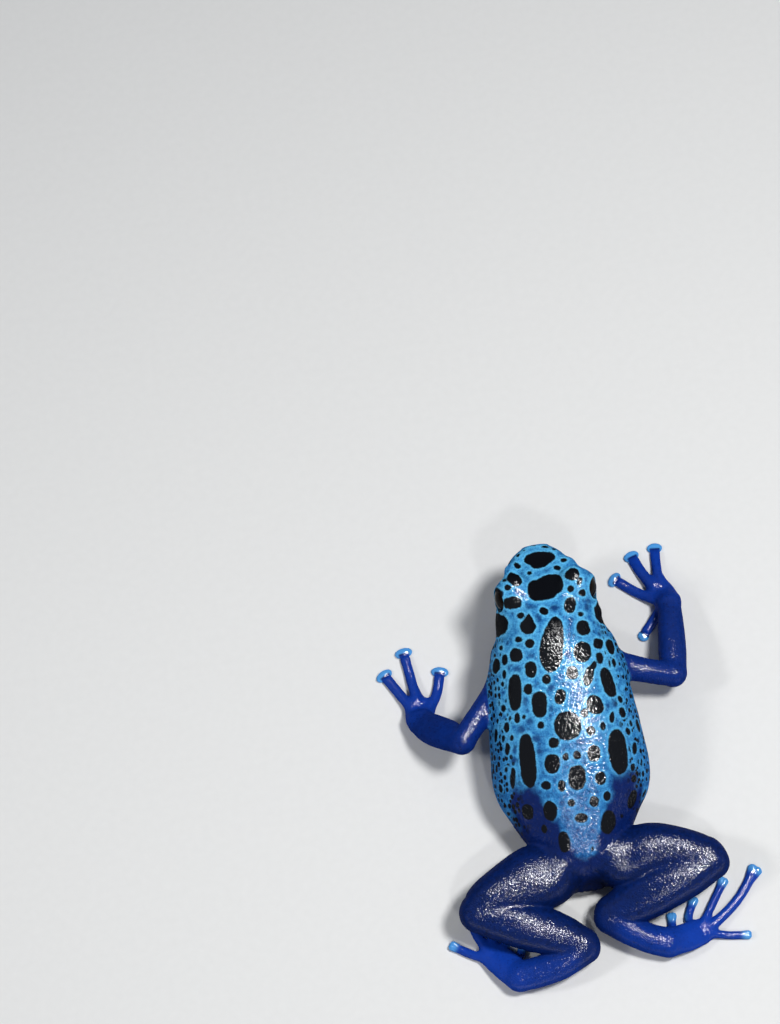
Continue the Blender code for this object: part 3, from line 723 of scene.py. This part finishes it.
TABLE_T = np.linspace(0, len(BODY) - 1, 400)
TABLE = curve(BODY, TABLE_T)
ANGLES = np.linspace(0, math.pi, 181)


def body_row(along):
    row = [np.interp(along, TABLE[:, 0], TABLE[:, k]) for k in (1, 2, 3)]
    return (row[0],) + profile(along, *row)


def girth_table():
    """Distance over the skin from the middle of the back, for each place and angle."""
    half, middle, above, below, power, bow = body_row(TABLE[:, 0])
    s, c = np.sin(ANGLES)[None], np.cos(ANGLES)[None]
    power = power[:, None]
    out = half[:, None] * np.abs(s) ** power
    up = np.where(c > 0, above[:, None], below[:, None]) * np.sign(c) * np.abs(c) ** power
    step = np.hypot(np.diff(out), np.diff(up))
    return np.hstack([np.zeros((len(TABLE), 1)), np.cumsum(step, 1)])


GIRTH = girth_table()


def girth(along, angle):
    i = np.interp(along, TABLE[:, 0], np.arange(len(TABLE)))
    j = np.abs(angle) / math.pi * (len(ANGLES) - 1)
    i0, j0 = np.minimum(i.astype(int), len(TABLE) - 2), np.minimum(j.astype(int), len(ANGLES) - 2)
    fi, fj = i - i0, j - j0
    g = ((GIRTH[i0, j0] * (1 - fi) + GIRTH[i0 + 1, j0] * fi) * (1 - fj)
         + (GIRTH[i0, j0 + 1] * (1 - fi) + GIRTH[i0 + 1, j0 + 1] * fi) * fj)
    return np.sign(angle) * g


def body_angle(out, along, up):
    """Angle round the body from the middle of the back, positive to the right."""
    half, middle, above, below, power, bow = body_row(along)
    x = (out - bow) / half
    y = (up - middle) / np.where(up > middle, above, below)
    return np.arctan2(np.sign(x) * np.abs(x) ** (1 / power), np.sign(y) * np.abs(y) ** (1 / power))


def over_back(out, along):
    """Place over the skin from the middle of the back, seen from above the back."""
    half, _, _, _, power, bow = body_row(along)
    x = np.clip((out - bow) / half, -0.99, 0.99)
    return girth(along, np.sign(x) * np.arcsin(np.abs(x) ** (1 / power)))


def landing(tree, px, py):
    """Where the line of sight through a pixel meets the skin, in the body frame."""
    ray = np.array([(px - 390.0) / FOCAL, -(py - 512.0) / FOCAL, -1.0]) @ AXES
    hit = tree.ray_cast(EYEPOINT.tolist(), ray.tolist())[0]
    if hit is None:                            # just off the outline: at its height there
        t = (8.0 - EYEPOINT[2]) / ray[2]
        hit = EYEPOINT + ray * t
    return [float(v) for v in to_body(np.array(hit[:]))]


def ripple(x, y, size, seed):
    """Smooth wandering value of about -1 .. 1."""
    rng = np.random.default_rng(seed)
    total = np.zeros_like(x)
    for _ in range(7):
        a, ph = rng.uniform(0, 2 * math.pi, 2)
        k = 2 * math.pi / (size * rng.uniform(0.7, 1.5))
        total += np.sin(k * (x * math.cos(a) + y * math.sin(a)) + ph)
    return total / 2.6


def blots(tree, rows, q, w, soft=False, spread=0.3):
    """Signed distance to the nearest blot of a table, over the skin."""
    best = np.full(len(q), 3.0)
    weight = np.zeros(len(q))
    for px, py, wide, tall, lean, last in rows:
        out, along, _ = landing(tree, px, py)
        half, tall = wide * SCALE / 2, tall * SCALE / 2
        a = math.radians(lean + TURN)
        q0, q1 = over_back(np.array([out - half, out + half]), np.array([along, along]))
        mid, steep = (q0 + q1) / 2, float(np.clip((q1 - q0) / (2 * half), 1.0, 3.0))
        near = np.flatnonzero((np.abs(q - mid) < (half + tall + 3) * steep)
                              & (np.abs(w - along) < half + tall + 3))
        x, y = (q[near] - mid) / steep, w[near] - along
        across, down = x * math.cos(a) - y * math.sin(a), x * math.sin(a) + y * math.cos(a)
        power = 2.0 if soft else last
        u, v = np.abs(across) / half, np.abs(down) / tall
        k0 = np.maximum((u ** power + v ** power) ** (1 / power), 1e-6)
        k1 = np.hypot(across / half ** 2, down / tall ** 2) / np.maximum(np.hypot(u, v), 1e-6)
        d = (k0 - 1) / np.maximum(k1, 1e-6)
        if soft:
            weight[near] = np.maximum(weight[near], last * smooth(1.0 + spread, 1.0 - spread, k0))
        else:
            best[near] = join(best[near], d, 0.2)
    return weight if soft else best


def paint_places(obj, tree, verts, normals):
    """Everything the skin's material reads, one value for each vertex."""
    whole, body, limbs, d = field(verts, 2.2, True)
    out, along, up = to_body(verts)
    angle = body_angle(out, along, up)
    q = girth(along, angle)
    half, middle, _, _, _, bow = body_row(along)
    across = np.abs(out - bow) / half
    seen = smooth(0.99, 0.90, across) * smooth(-0.5, 0.8, up - middle)
    top = over_back(out, along)
    q = q + seen * (top - q)
    # the sides of the head count on from the outline, so no spot shows twice
    brow = smooth(33.5, 35.0, along) * smooth(-1.5, -0.5, up - middle) * smooth(0.80, 0.9, across)
    q = q + brow * np.where(np.abs(q) < np.abs(top), top - q, 0.0)
    rough = ripple(q, along, 1.5, 3) * 0.6 + ripple(q, along, 0.7, 4) * 0.4
    spot = blots(tree, SPOTS, q, along) + 0.07 * rough
    faint = blots(tree, FAINT, q, along, True)
    # navy of the hips, partly the skin's own colour and partly painted shade in the hollows round a bright wedge that
    # ends over the vent
    wander = 0.35 * ripple(q, along, 2.4, 8) + 0.15 * rough
    wedge = np.interp(along, (2.2, 2.7, 4.0, 5.6, 7.1, 8.5, 10.1, 12.0), (0.0, 1.2, 1.8, 2.3, 2.8, 3.7, 4.4, 4.9))
    outer = np.maximum(smooth(9.0, 7.7, np.abs(out) + wander), smooth(8.2, 5.0, along))
    shade = (smooth(-0.60, 0.55, np.abs(out - 0.05) - wedge + wander)
             * smooth(13.4, 11.4, along + wander) * outer)
    # how much of a vertex is limb, and how light that limb is
    limb = smooth(-0.10, 0.25, body - limbs)
    tones = {"thigh": 0.05, "shank": 0.08, "tarsus": 0.42, "foot": 0.72,
             "upper": 0.30, "forearm": 0.25, "hand": 0.62}
    total, mass = np.zeros(len(verts)), np.full(len(verts), 1e-9)
    for name, value in d.items():
        if name != "body":
            weight = np.exp(-np.clip(value, -1.5, 8) / 0.5)
            total += weight * tones[name.split("_")[0]]
            mass += weight
    royal = total / mass
    tip, groove = np.zeros(len(verts)), np.zeros(len(verts))
    for end, direction, disc, name in TIPS:
        s = verts - end
        la = s[:, 0] * direction[0] + s[:, 1] * direction[1]
        ls = np.abs(-s[:, 0] * direction[1] + s[:, 1] * direction[0])
        near = (np.abs(la) < 3) & (ls < 2.2) & (verts[:, 2] < 2)
        if "foot" in name:
            value = smooth(-1.35, -0.45, la) * smooth(2.2, 1.4, ls)
        else:
            shaft = smooth(0.76, 0.64, ls) * smooth(-0.24, -0.36, la)
            value = smooth(-0.06, 0.08, np.maximum(la + 0.16, ls - 0.66)) * (1 - shaft)
            value = value * smooth(-1.0, -0.7, la)
            # painted shadow in the groove between each finger's shaft and its disc
            gap = hump(la + 0.27, 0.13) * smooth(0.85, 0.60, ls) * smooth(0.25, 0.45, verts[:, 2] + CENTRE[2])
            groove = np.where(near, np.maximum(groove, gap), groove)
        tip = np.where(near, np.maximum(tip, value), tip)
    # black patches round the eardrums, on the side of the head
    patch = np.full(len(verts), 3.0)
    for side, place, long, centre, wide in ((-1, 33.6, 1.60, 1.36, 0.54), (1, 33.3, 1.75, 1.45, 0.46)):
        r = np.hypot((along - place) / long, (side * angle - centre) / wide)
        patch = np.minimum(patch, (r - 1) * 1.5 + (side * out < 0) * 5)
    spot = spot + 1.2 * smooth(-0.2, -1.0, up) * smooth(37.2, 39.2, along)
    spot = np.minimum(spot, patch + 0.08 * rough)
    # dark rim of the lids
    for side in (-1, 1):
        r, pa, ph, pv = eye_frame(out, along, up, side)
        across = opening(ph, pv)
        rim = 0.03 if side > 0 else 0.03 + 0.40 * smooth(-0.2, 1.1, ph) * smooth(-0.4, 0.6, pv)
        spot = np.where((pa > 0.3) & (r < 3.2), np.minimum(spot, across - rim), spot)
    bright = smooth(-6.0, 29.0, along) * (1 - 0.56 * smooth(6.0, 12.0, np.abs(q)))
    under = smooth(1.75, 2.25, np.abs(angle)) * (1 - limb) * smooth(-0.5, 2.5, along)
    flank = smooth(6.2, 8.2, np.abs(q)) * smooth(33.5, 30.5, along) * smooth(4.0, 8.0, along)
    cheek = smooth(1.10, 1.30, np.abs(angle)) * smooth(34.6, 36.0, along)
    calm = np.zeros(len(verts))
    for name, share in (("forearm_left", 0.85), ("tarsus_left", 0.0), ("tarsus_right", 0.80),
                        ("foot_right", 0.5), ("upper_arm_right", 0.3)):
        calm = np.maximum(calm, share * smooth(0.5, -0.3, d[name]))
    calm = np.maximum(calm, smooth(29.4, 32.8, along + 0.5 * rough) * smooth(2.7, 1.9, np.abs(out + 0.2)))
    calm = np.maximum(calm, smooth(37.9, 39.2, along))
    grain = (0.78 + 0.22 * limb) * (1 - 0.75 * np.clip(tip + smooth(0.6, 0.9, royal) * limb + 0.6 * calm, 0, 1))
    # navy and painted shade on the rump's end, where it turns down below the wedge
    shade = np.maximum(shade, smooth(2.35, 1.85, along + 0.10 * rough))
    # painted shade in hollows where shade falls: the mouth's slit, the nostril pits, the rump's end, the grooves
    # before the finger discs and round the vent
    slit = smooth(0.20, 0.05, np.abs(up - mouth_height(along))) * smooth(33.0, 34.0, along)
    # painted shade inside the nostril pits
    for side in (-1, 1):
        r = np.sqrt((side * (out + snout_turn(along)) - 2.62) ** 2 + (along - 42.15) ** 2
                    + (up + 0.35) ** 2)
        slit = np.maximum(slit, smooth(0.36, 0.18, r))
    # painted shadow on the rump's end, which faces back and down
    slit = np.maximum(slit, smooth(1.25, 0.55, np.hypot((out - 0.6) / 1.9, (along + 1.6) / 1.5)))
    # painted shadow in the grooves before the finger discs
    slit = np.maximum(slit, groove)
    # painted shade round the vent, between the thighs
    slit = np.maximum(slit, 0.50 * smooth(3.6, 1.8, np.abs(out)) * smooth(1.0, -0.6, along))
    beside = smooth(0.88, 0.62, normals[:, 2] * COS - normals[:, 1] * SIN)
    for name, value in (("spot", spot), ("faint", faint), ("shade", shade), ("limb", limb),
                        ("royal", royal), ("tip", tip), ("bright", bright), ("under", under),
                        ("flank", flank), ("grain", grain), ("slit", slit),
                        ("beside", beside), ("cheek", cheek), ("calm", calm)):
        made = obj.data.attributes.new(name, "FLOAT", "POINT")
        made.data.foreach_set("value", np.asarray(value, np.float32))
    plan = obj.data.attributes.new("plan", "FLOAT_VECTOR", "POINT")
    # the flank's dots follow the skin round the body: both sides count from the back
    width = 0.5 * np.abs(q) + 0.5 * np.minimum(np.abs(out), np.abs(q))
    coords = np.stack([width + 60.0 * (q > 0), along, np.zeros(len(q))], -1)
    plan.data.foreach_set("vector", coords.astype(np.float32).ravel())


# ------------------------------------------------------------------ materials
class Nodes:
    """Short hand for building a node material."""

    def __init__(self, name):
        self.mat = bpy.data.materials.new(name)
        self.mat.use_nodes = True
        self.tree = self.mat.node_tree
        self.bsdf = self.tree.nodes["Principled BSDF"]

    def put(self, target, value):
        if hasattr(value, "is_output"):
            self.tree.links.new(value, target)
        else:
            target.default_value = value

    def math(self, op, *args, clamp=False):
        n = self.tree.nodes.new("ShaderNodeMath")
        n.operation, n.use_clamp = op, clamp
        for i, a in enumerate(args):
            self.put(n.inputs[i], a)
        return n.outputs[0]

    def ramp(self, value, low, high, to_low=0.0, to_high=1.0):
        n = self.tree.nodes.new("ShaderNodeMapRange")
        n.interpolation_type = "SMOOTHSTEP"
        for i, a in enumerate((value, low, high, to_low, to_high)):
            self.put(n.inputs[i], a)
        return n.outputs[0]

    def mix(self, factor, a, b):
        n = self.tree.nodes.new("ShaderNodeMix")
        n.data_type = "RGBA"
        self.put(n.inputs[0], factor)
        for socket, value in ((n.inputs[6], a), (n.inputs[7], b)):
            self.put(socket, value if hasattr(value, "is_output") else (*value, 1.0))
        return n.outputs[2]

    def value(self, name):
        n = self.tree.nodes.new("ShaderNodeAttribute")
        n.attribute_name = name
        return n.outputs["Fac"]

    def vector(self, name):
        n = self.tree.nodes.new("ShaderNodeAttribute")
        n.attribute_name = name
        return n.outputs["Vector"]

    def scaled(self, vector, scale, shift=(0, 0, 0)):
        n = self.tree.nodes.new("ShaderNodeMapping")
        self.put(n.inputs["Vector"], vector)
        n.inputs["Scale"].default_value = scale
        n.inputs["Location"].default_value = shift
        return n.outputs[0]

    def millimetres(self):
        n = self.tree.nodes.new("ShaderNodeTexCoord")
        return self.scaled(n.outputs["Object"], (1000, 1000, 1000))

    def noise(self, vector, scale, detail=2.0, rough=0.5):
        n = self.tree.nodes.new("ShaderNodeTexNoise")
        self.put(n.inputs["Vector"], vector)
        n.inputs["Scale"].default_value = scale
        n.inputs["Detail"].default_value = detail
        n.inputs["Roughness"].default_value = rough
        return n.outputs[0]

    def cells(self, vector, scale, feature="F1", random=1.0, flat=False):
        n = self.tree.nodes.new("ShaderNodeTexVoronoi")
        n.feature = feature
        n.voronoi_dimensions = "2D" if flat else "3D"
        self.put(n.inputs["Vector"], vector)
        n.inputs["Scale"].default_value = scale
        n.inputs["Randomness"].default_value = random
        return n

    def bump(self, height, distance, strength, normal=None):
        n = self.tree.nodes.new("ShaderNodeBump")
        self.put(n.inputs["Height"], height)
        n.inputs["Distance"].default_value = distance
        self.put(n.inputs["Strength"], strength)
        if normal is not None:
            self.put(n.inputs["Normal"], normal)
        return n.outputs[0]


def skin_material():
    n = Nodes("frog_skin")
    mm = n.millimetres()
    spot, faint, limb = n.value("spot"), n.value("faint"), n.value("limb")
    broad, middle, fine = n.noise(mm, 0.45, 3), n.noise(mm, 1.7, 3, 0.6), n.noise(mm, 6.5, 3, 0.6)
    # distance to the spots, with a slightly frayed edge
    edge = n.math("ADD", spot, n.math("MULTIPLY", n.math("SUBTRACT", fine, 0.5), 0.16))
    black = n.ramp(edge, 0.085, -0.085)
    # small dots of the flanks, long across the body's width, with thin light net between
    plan = n.scaled(n.vector("plan"), (1.50, 1.12, 1.0))
    dots = n.cells(plan, 1.0, random=0.85, flat=True)
    size = n.tree.nodes.new("ShaderNodeSeparateColor")
    n.put(size.inputs[0], dots.outputs["Color"])
    reach = n.math("MULTIPLY_ADD", size.outputs[0], 0.22, 0.22)
    small = n.math("SUBTRACT", dots.outputs["Distance"], reach)
    clear = n.ramp(spot, 0.10, 0.26)
    some = n.ramp(size.outputs[1], 0.12, 0.16)
    small_black = n.math("MULTIPLY", n.math("MULTIPLY", n.ramp(small, 0.05, -0.05), n.value("flank")),
                         n.math("MULTIPLY", clear, some))
    # round dots on the cheeks and round the snout
    cheeks = n.cells(mm, 0.80, random=0.9)
    other = n.tree.nodes.new("ShaderNodeSeparateColor")
    n.put(other.inputs[0], cheeks.outputs["Color"])
    gap = n.math("SUBTRACT", cheeks.outputs["Distance"], n.math("MULTIPLY_ADD", other.outputs[0], 0.16, 0.24))
    cheek_black = n.math("MULTIPLY", n.math("MULTIPLY", n.ramp(gap, 0.04, -0.04), n.value("cheek")), clear)
    small_black = n.math("MAXIMUM", small_black, cheek_black)
    # colour of the back: cyan next to the spots, deeper blue away from them
    near = n.math("MAXIMUM", n.ramp(spot, 0.60, 0.08),
                  n.math("MULTIPLY", n.ramp(small, 0.30, 0.0), n.value("flank")))
    bright = n.value("bright")
    deep = n.mix(bright, (0.004, 0.045, 0.190), (0.011, 0.115, 0.370))
    light = n.mix(bright, (0.016, 0.180, 0.530), (0.100, 0.480, 0.830))
    mottle = n.math("MULTIPLY_ADD", n.math("SUBTRACT", middle, 0.5), 1.5,
                    n.math("MULTIPLY", n.math("SUBTRACT", fine, 0.5), 1.9))
    back = n.mix(n.math("ADD", n.math("MULTIPLY_ADD", near, 0.47, 0.32), mottle, clamp=True), deep, light)
    halo = n.math("MULTIPLY", n.ramp(spot, 0.30, 0.05), n.math("MULTIPLY", n.ramp(fine, 0.35, 0.65), bright))
    back = n.mix(n.math("MULTIPLY", halo, 0.45), back, (0.190, 0.620, 0.880))
    # faint dots, measured ones and a scatter of smaller ones
    specks = n.cells(n.scaled(n.vector("plan"), (0.95, 0.95, 1.0), (3.3, 1.7, 0)), 1.0, flat=True)
    other = n.tree.nodes.new("ShaderNodeSeparateColor")
    n.put(other.inputs[0], specks.outputs["Color"])
    speck = n.math("MULTIPLY", n.ramp(specks.outputs["Distance"], 0.30, 0.10),
                   n.math("MULTIPLY", n.ramp(other.outputs[0], 0.50, 0.55), n.ramp(spot, 0.12, 0.40)))
    dull = n.math("MAXIMUM", n.math("MULTIPLY", faint, 1.35, clamp=True), n.math("MULTIPLY", speck, 0.55))
    back = n.mix(dull, back, (0.007, 0.036, 0.150))
    # navy of the hips and rump: the skin's own colour with painted shade in its hollows
    navy = n.mix(middle, (0.0020, 0.0085, 0.062), (0.0042, 0.021, 0.155))
    back = n.mix(n.value("shade"), back, navy)
    # underside: deep blue with dark clouds
    belly = n.mix(n.ramp(broad, 0.45, 0.60), (0.010, 0.050, 0.30), (0.004, 0.009, 0.045))
    back = n.mix(n.value("under"), back, belly)
    # limbs: navy with dark specks, more royal blue towards the digits
    royal = n.math("ADD", n.value("royal"), n.math("MULTIPLY", n.math("SUBTRACT", middle, 0.5), 0.35), clamp=True)
    arm = n.mix(royal, (0.0026, 0.0105, 0.066), (0.008, 0.060, 0.480))
    freckle = n.cells(mm, 1.9, random=1.0)
    pick = n.tree.nodes.new("ShaderNodeSeparateColor")
    n.put(pick.inputs[0], freckle.outputs["Color"])
    dark = n.math("MULTIPLY", n.ramp(freckle.outputs["Distance"], 0.32, 0.16), n.ramp(pick.outputs[0], 0.45, 0.5))
    dark = n.math("MULTIPLY", dark, n.math("MULTIPLY_ADD", n.value("royal"), -0.55, 0.60))
    arm = n.mix(dark, arm, (0.003, 0.006, 0.034))
    arm = n.mix(n.math("MULTIPLY", n.value("tip"), 0.92), arm, (0.085, 0.350, 0.780))
    colour = n.mix(limb, back, arm)
    ink_and_painted_shade = n.math("MULTIPLY", n.math("MAXIMUM", black, small_black),
                 n.math("SUBTRACT", 1.0, limb))
    # painted shade of the hollows is laid in with the spots' black
    ink_and_painted_shade = n.math("MAXIMUM", ink_and_painted_shade, n.math("MULTIPLY", n.value("slit"), 0.7))
    colour = n.mix(ink_and_painted_shade, colour, n.mix(fine, (0.0028, 0.0032, 0.005), (0.0065, 0.0075, 0.010)))
    n.put(n.bsdf.inputs["Base Color"], colour)
    # fine grains, which break the light into sparks
    grain = n.value("grain")
    grains = n.cells(mm, 4.4, "SMOOTH_F1", 0.9)
    grains.inputs["Smoothness"].default_value = 0.35
    height = n.math("MULTIPLY", grains.outputs["Distance"], -1.0)
    normal = n.bump(height, 0.000020, grain)
    normal = n.bump(n.noise(mm, 4.2, 1.0, 0.5), 0.000066, n.math("MULTIPLY", grain, limb), normal)
    normal = n.bump(n.noise(mm, 2.7, 1.0, 0.5), 0.000122,
                    n.math("MULTIPLY", grain, n.math("SUBTRACT", 1.0, limb)), normal)
    normal = n.bump(middle, 0.00006, 0.35, normal)
    n.put(n.bsdf.inputs["Normal"], normal)
    n.put(n.bsdf.inputs["Coat Normal"], normal)
    n.put(n.bsdf.inputs["Roughness"], n.ramp(fine, 0.3, 0.7, 0.42, 0.58))
    n.bsdf.inputs["IOR"].default_value = 1.40
    n.bsdf.inputs["Specular IOR Level"].default_value = 0.0
    n.put(n.bsdf.inputs["Coat Weight"],
          n.math("MULTIPLY", n.ramp(n.value("beside"), 0.0, 1.0, 0.80, 0.08),
                 n.math("SUBTRACT", 1.0, n.value("calm"))))
    n.bsdf.inputs["Coat Roughness"].default_value = 0.13
    n.put(n.bsdf.inputs["Coat IOR"], n.ramp(n.value("beside"), 0.0, 1.0,
                                            n.ramp(grain, 0.30, 0.60, 2.05, 1.60), 1.36))
    return n.mat


def eye_material():
    """Near black iris with a faint bronze net, and a wide, flat pupil."""
    n = Nodes("frog_eye")
    place = n.vector("iris")
    part = n.tree.nodes.new("ShaderNodeSeparateXYZ")
    n.put(part.inputs[0], place)
    x, y, z = part.outputs
    flat = n.math("SQRT", n.math("ADD", n.math("POWER", n.math("MULTIPLY", x, 0.78), 2.0),
                                 n.math("POWER", y, 2.0)))
    round_ = n.math("SQRT", n.math("ADD", n.math("POWER", x, 2.0), n.math("POWER", y, 2.0)))
    net = n.noise(n.scaled(place, (9, 9, 9)), 1.0, 4, 0.65)
    iris = n.mix(n.ramp(net, 0.40, 0.68), (0.004, 0.003, 0.003), (0.020, 0.011, 0.006))
    pupil = n.ramp(flat, 0.46, 0.40)
    colour = n.mix(pupil, iris, (0.0015, 0.0015, 0.0018))
    rim = n.ramp(round_, 0.74, 0.90)
    colour = n.mix(n.math("MAXIMUM", rim, n.ramp(z, 0.2, 0.0)), colour, (0.004, 0.005, 0.008))
    n.put(n.bsdf.inputs["Base Color"], colour)
    n.put(n.bsdf.inputs["Roughness"], n.ramp(net, 0.3, 0.7, 0.10, 0.16))
    n.bsdf.inputs["Specular IOR Level"].default_value = 0.04
    n.bsdf.inputs["Coat Weight"].default_value = 0.03
    n.bsdf.inputs["Coat Roughness"].default_value = 0.03
    n.bsdf.inputs["Coat IOR"].default_value = 1.90
    return n.mat


def floor_material():
    n = Nodes("studio_floor")
    coords = n.tree.nodes.new("ShaderNodeTexCoord").outputs["Object"]
    grain = n.noise(coords, 900, 3)
    n.put(n.bsdf.inputs["Base Color"], n.mix(grain, (0.74, 0.74, 0.73), (0.78, 0.78, 0.77)))
    n.put(n.bsdf.inputs["Normal"], n.bump(grain, 0.00002, 0.3))
    n.bsdf.inputs["Roughness"].default_value = 0.75
    return n.mat


# --------------------------------------------------------------------- pieces
def make_skin():
    spacing = 0.285
    verts, quads = skin_net(spacing)
    for _ in range(4):
        verts = settle(relax(verts, quads, 0.6), quads, 1)
    # finer over the face and the digits' ends, finest round the eyes
    for level in range(2):
        polys = padded_faces(quads) if isinstance(quads, list) else quads
        middle = verts[polys].mean(1)
        out, along, up = to_body(middle)
        chosen = np.zeros(len(polys), bool)
        for side in (-1, 1):
            r, pa, ph, pv = eye_frame(out, along, up, side)
            chosen |= (r < (3.1, 2.75)[level]) & (pa > (0.1, 0.9)[level])
            n = np.sqrt((side * out - 2.62) ** 2 + (along - 42.15) ** 2 + (up + 0.35) ** 2)
            chosen |= n < (1.0, 0.6)[level]
        line = np.abs(up - mouth_height(along))
        if level == 0:
            chosen |= (line < 0.42) & (along > 33.2)
            for tip, direction, _, _ in TIPS:
                s = middle - tip
                la = s[:, 0] * direction[0] + s[:, 1] * direction[1]
                ls = np.abs(-s[:, 0] * direction[1] + s[:, 1] * direction[0])
                chosen |= (la > -1.4) & (la < 1.2) & (ls < 1.6) & (middle[:, 2] < 1.5) & (middle[:, 2] > 0.15)
        count = len(verts)
        verts, faces = finer(verts, polys, chosen)
        quads = faces
        padded = padded_faces(faces)
        which = np.zeros(len(verts), bool)
        which[np.unique(padded[(np.arange(len(verts)) >= count)[padded].any(1)])] = True
        which = np.flatnonzero(which)
        still = np.ones(len(verts), bool)
        still[which] = False
        for _ in range(3):
            verts = settle(relax(verts, padded, 0.5, still), padded, 1, which)
    faces = [tuple(dict.fromkeys(f)) for f in (quads if isinstance(quads, list) else quads.tolist())]
    obj = mesh_object("frog_skin", verts, faces)
    obj.data.shade_smooth()
    tree = BVHTree.FromPolygons(verts.tolist(), faces)
    paint_places(obj, tree, verts, vertex_normals(verts, padded_faces(faces)))
    obj.data.materials.append(skin_material())
    return obj


def make_eye(side, name):
    """Eyeball with a slightly raised cornea, its pole on the opening's axis."""
    el, az = math.radians(14.0), math.radians(-11.0)
    axis = np.array([math.cos(el) * math.cos(az), math.cos(el) * math.sin(az), math.sin(el)])
    level = np.array([-math.sin(az), math.cos(az), 0.0])
    upright = np.cross(axis, level)
    turns, rings = 72, 48
    verts, iris = [], []
    for i in range(rings + 1):
        a = math.pi * i / rings
        radius = EYE_RADIUS + 0.05 * math.exp(-(a / 0.55) ** 2)
        for k in range(turns if 0 < i < rings else 1):
            t = 2 * math.pi * k / turns
            p = (axis * math.cos(a) + level * math.sin(a) * math.cos(t)
                 + upright * math.sin(a) * math.sin(t))
            iris.append((math.sin(a) * math.cos(t), math.sin(a) * math.sin(t), math.cos(a)))
            p = p * radius + np.array(EYE)
            verts.append(from_body(side * p[0], p[1], p[2]))
    faces = []
    first, last = 1, len(verts) - 1
    for k in range(turns):
        faces.append((0, first + k, first + (k + 1) % turns))
        end = last - turns
        faces.append((last, end + (k + 1) % turns, end + k))
    for i in range(rings - 2):
        a = first + i * turns
        for k in range(turns):
            faces.append((a + k, a + turns + k, a + turns + (k + 1) % turns, a + (k + 1) % turns))
    if side < 0:
        faces = [f[::-1] for f in faces]
    obj = mesh_object(name, np.array(verts), faces)
    made = obj.data.attributes.new("iris", "FLOAT_VECTOR", "POINT")
    made.data.foreach_set("vector", np.array(iris, np.float32).ravel())
    obj.data.shade_smooth()
    return obj


skin = make_skin()
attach(skin, "root")
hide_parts(*[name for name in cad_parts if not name.startswith("eye_")])

eye_look = eye_material()
for side, name in ((-1, "left"), (1, "right")):
    eye = make_eye(side, "eyeball_" + name)
    eye.data.materials.append(eye_look)
    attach(eye, "root")
    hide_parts("eye_" + name)

# ---------------------------------------------------- floor, light and camera
floor = mesh_object("studio_floor", np.array([(-900, -900, 0), (900, -900, 0), (900, 900, 0), (-900, 900, 0)]),
                    [(0, 1, 2, 3)])
floor.location.z = -0.00002
floor.data.materials.append(floor_material())


def lamp(name, out, along, up, size, watts, colour=(1.0, 1.0, 1.0)):
    """Soft square lamp at a place in the body frame (mm), aimed at the back."""
    data = bpy.data.lights.new(name, "AREA")
    data.shape, data.size, data.energy, data.color = "DISK", size, watts, colour
    obj = bpy.data.objects.new(name, data)
    place = from_body(np.array(float(out)), np.array(float(along)), np.array(float(up)))
    aim = place - from_body(np.array(0.0), np.array(18.0), np.array(4.0))
    z = aim / np.linalg.norm(aim)
    x = np.cross((0, 1.0, 0.1), z)
    x /= np.linalg.norm(x)
    obj.matrix_world = Matrix(np.column_stack([x, np.cross(z, x), z]).tolist()).to_4x4()
    obj.location = (place * MM).tolist()
    bpy.context.scene.collection.objects.link(obj)
    return obj


lamp("lamp_right", 135, 106, 365, 0.075, 1.22).visible_glossy = False
lamp("lamp_spark", 150, 100, 365, 0.040, 1.25).visible_diffuse = False
lamp("lamp_front", 60, 250, 312, 0.080, 0.85).visible_diffuse = False
lamp("lamp_left", -240, 90, 250, 0.06, 0.26).visible_glossy = False
lamp("lamp_rear", 30, -95, 330, 0.030, 0.15)

world = bpy.data.worlds.new("studio")
world.use_nodes = True
world.node_tree.nodes["Background"].inputs[0].default_value = (0.80, 0.88, 1.0, 1.0)
world.node_tree.nodes["Background"].inputs[1].default_value = 0.13
bpy.context.scene.world = world
bpy.context.scene.view_settings.view_transform = "Standard"

data = bpy.data.cameras.new("camera")
data.lens, data.sensor_width, data.sensor_fit = 100.0, 36.0, "AUTO"
data.clip_start, data.clip_end = 0.01, 10.0
camera = bpy.data.objects.new("camera", data)
camera.matrix_world = Matrix(AXES.T.tolist()).to_4x4()
camera.location = (EYEPOINT * MM).tolist()
bpy.context.scene.collection.objects.link(camera)
bpy.context.scene.camera = camera
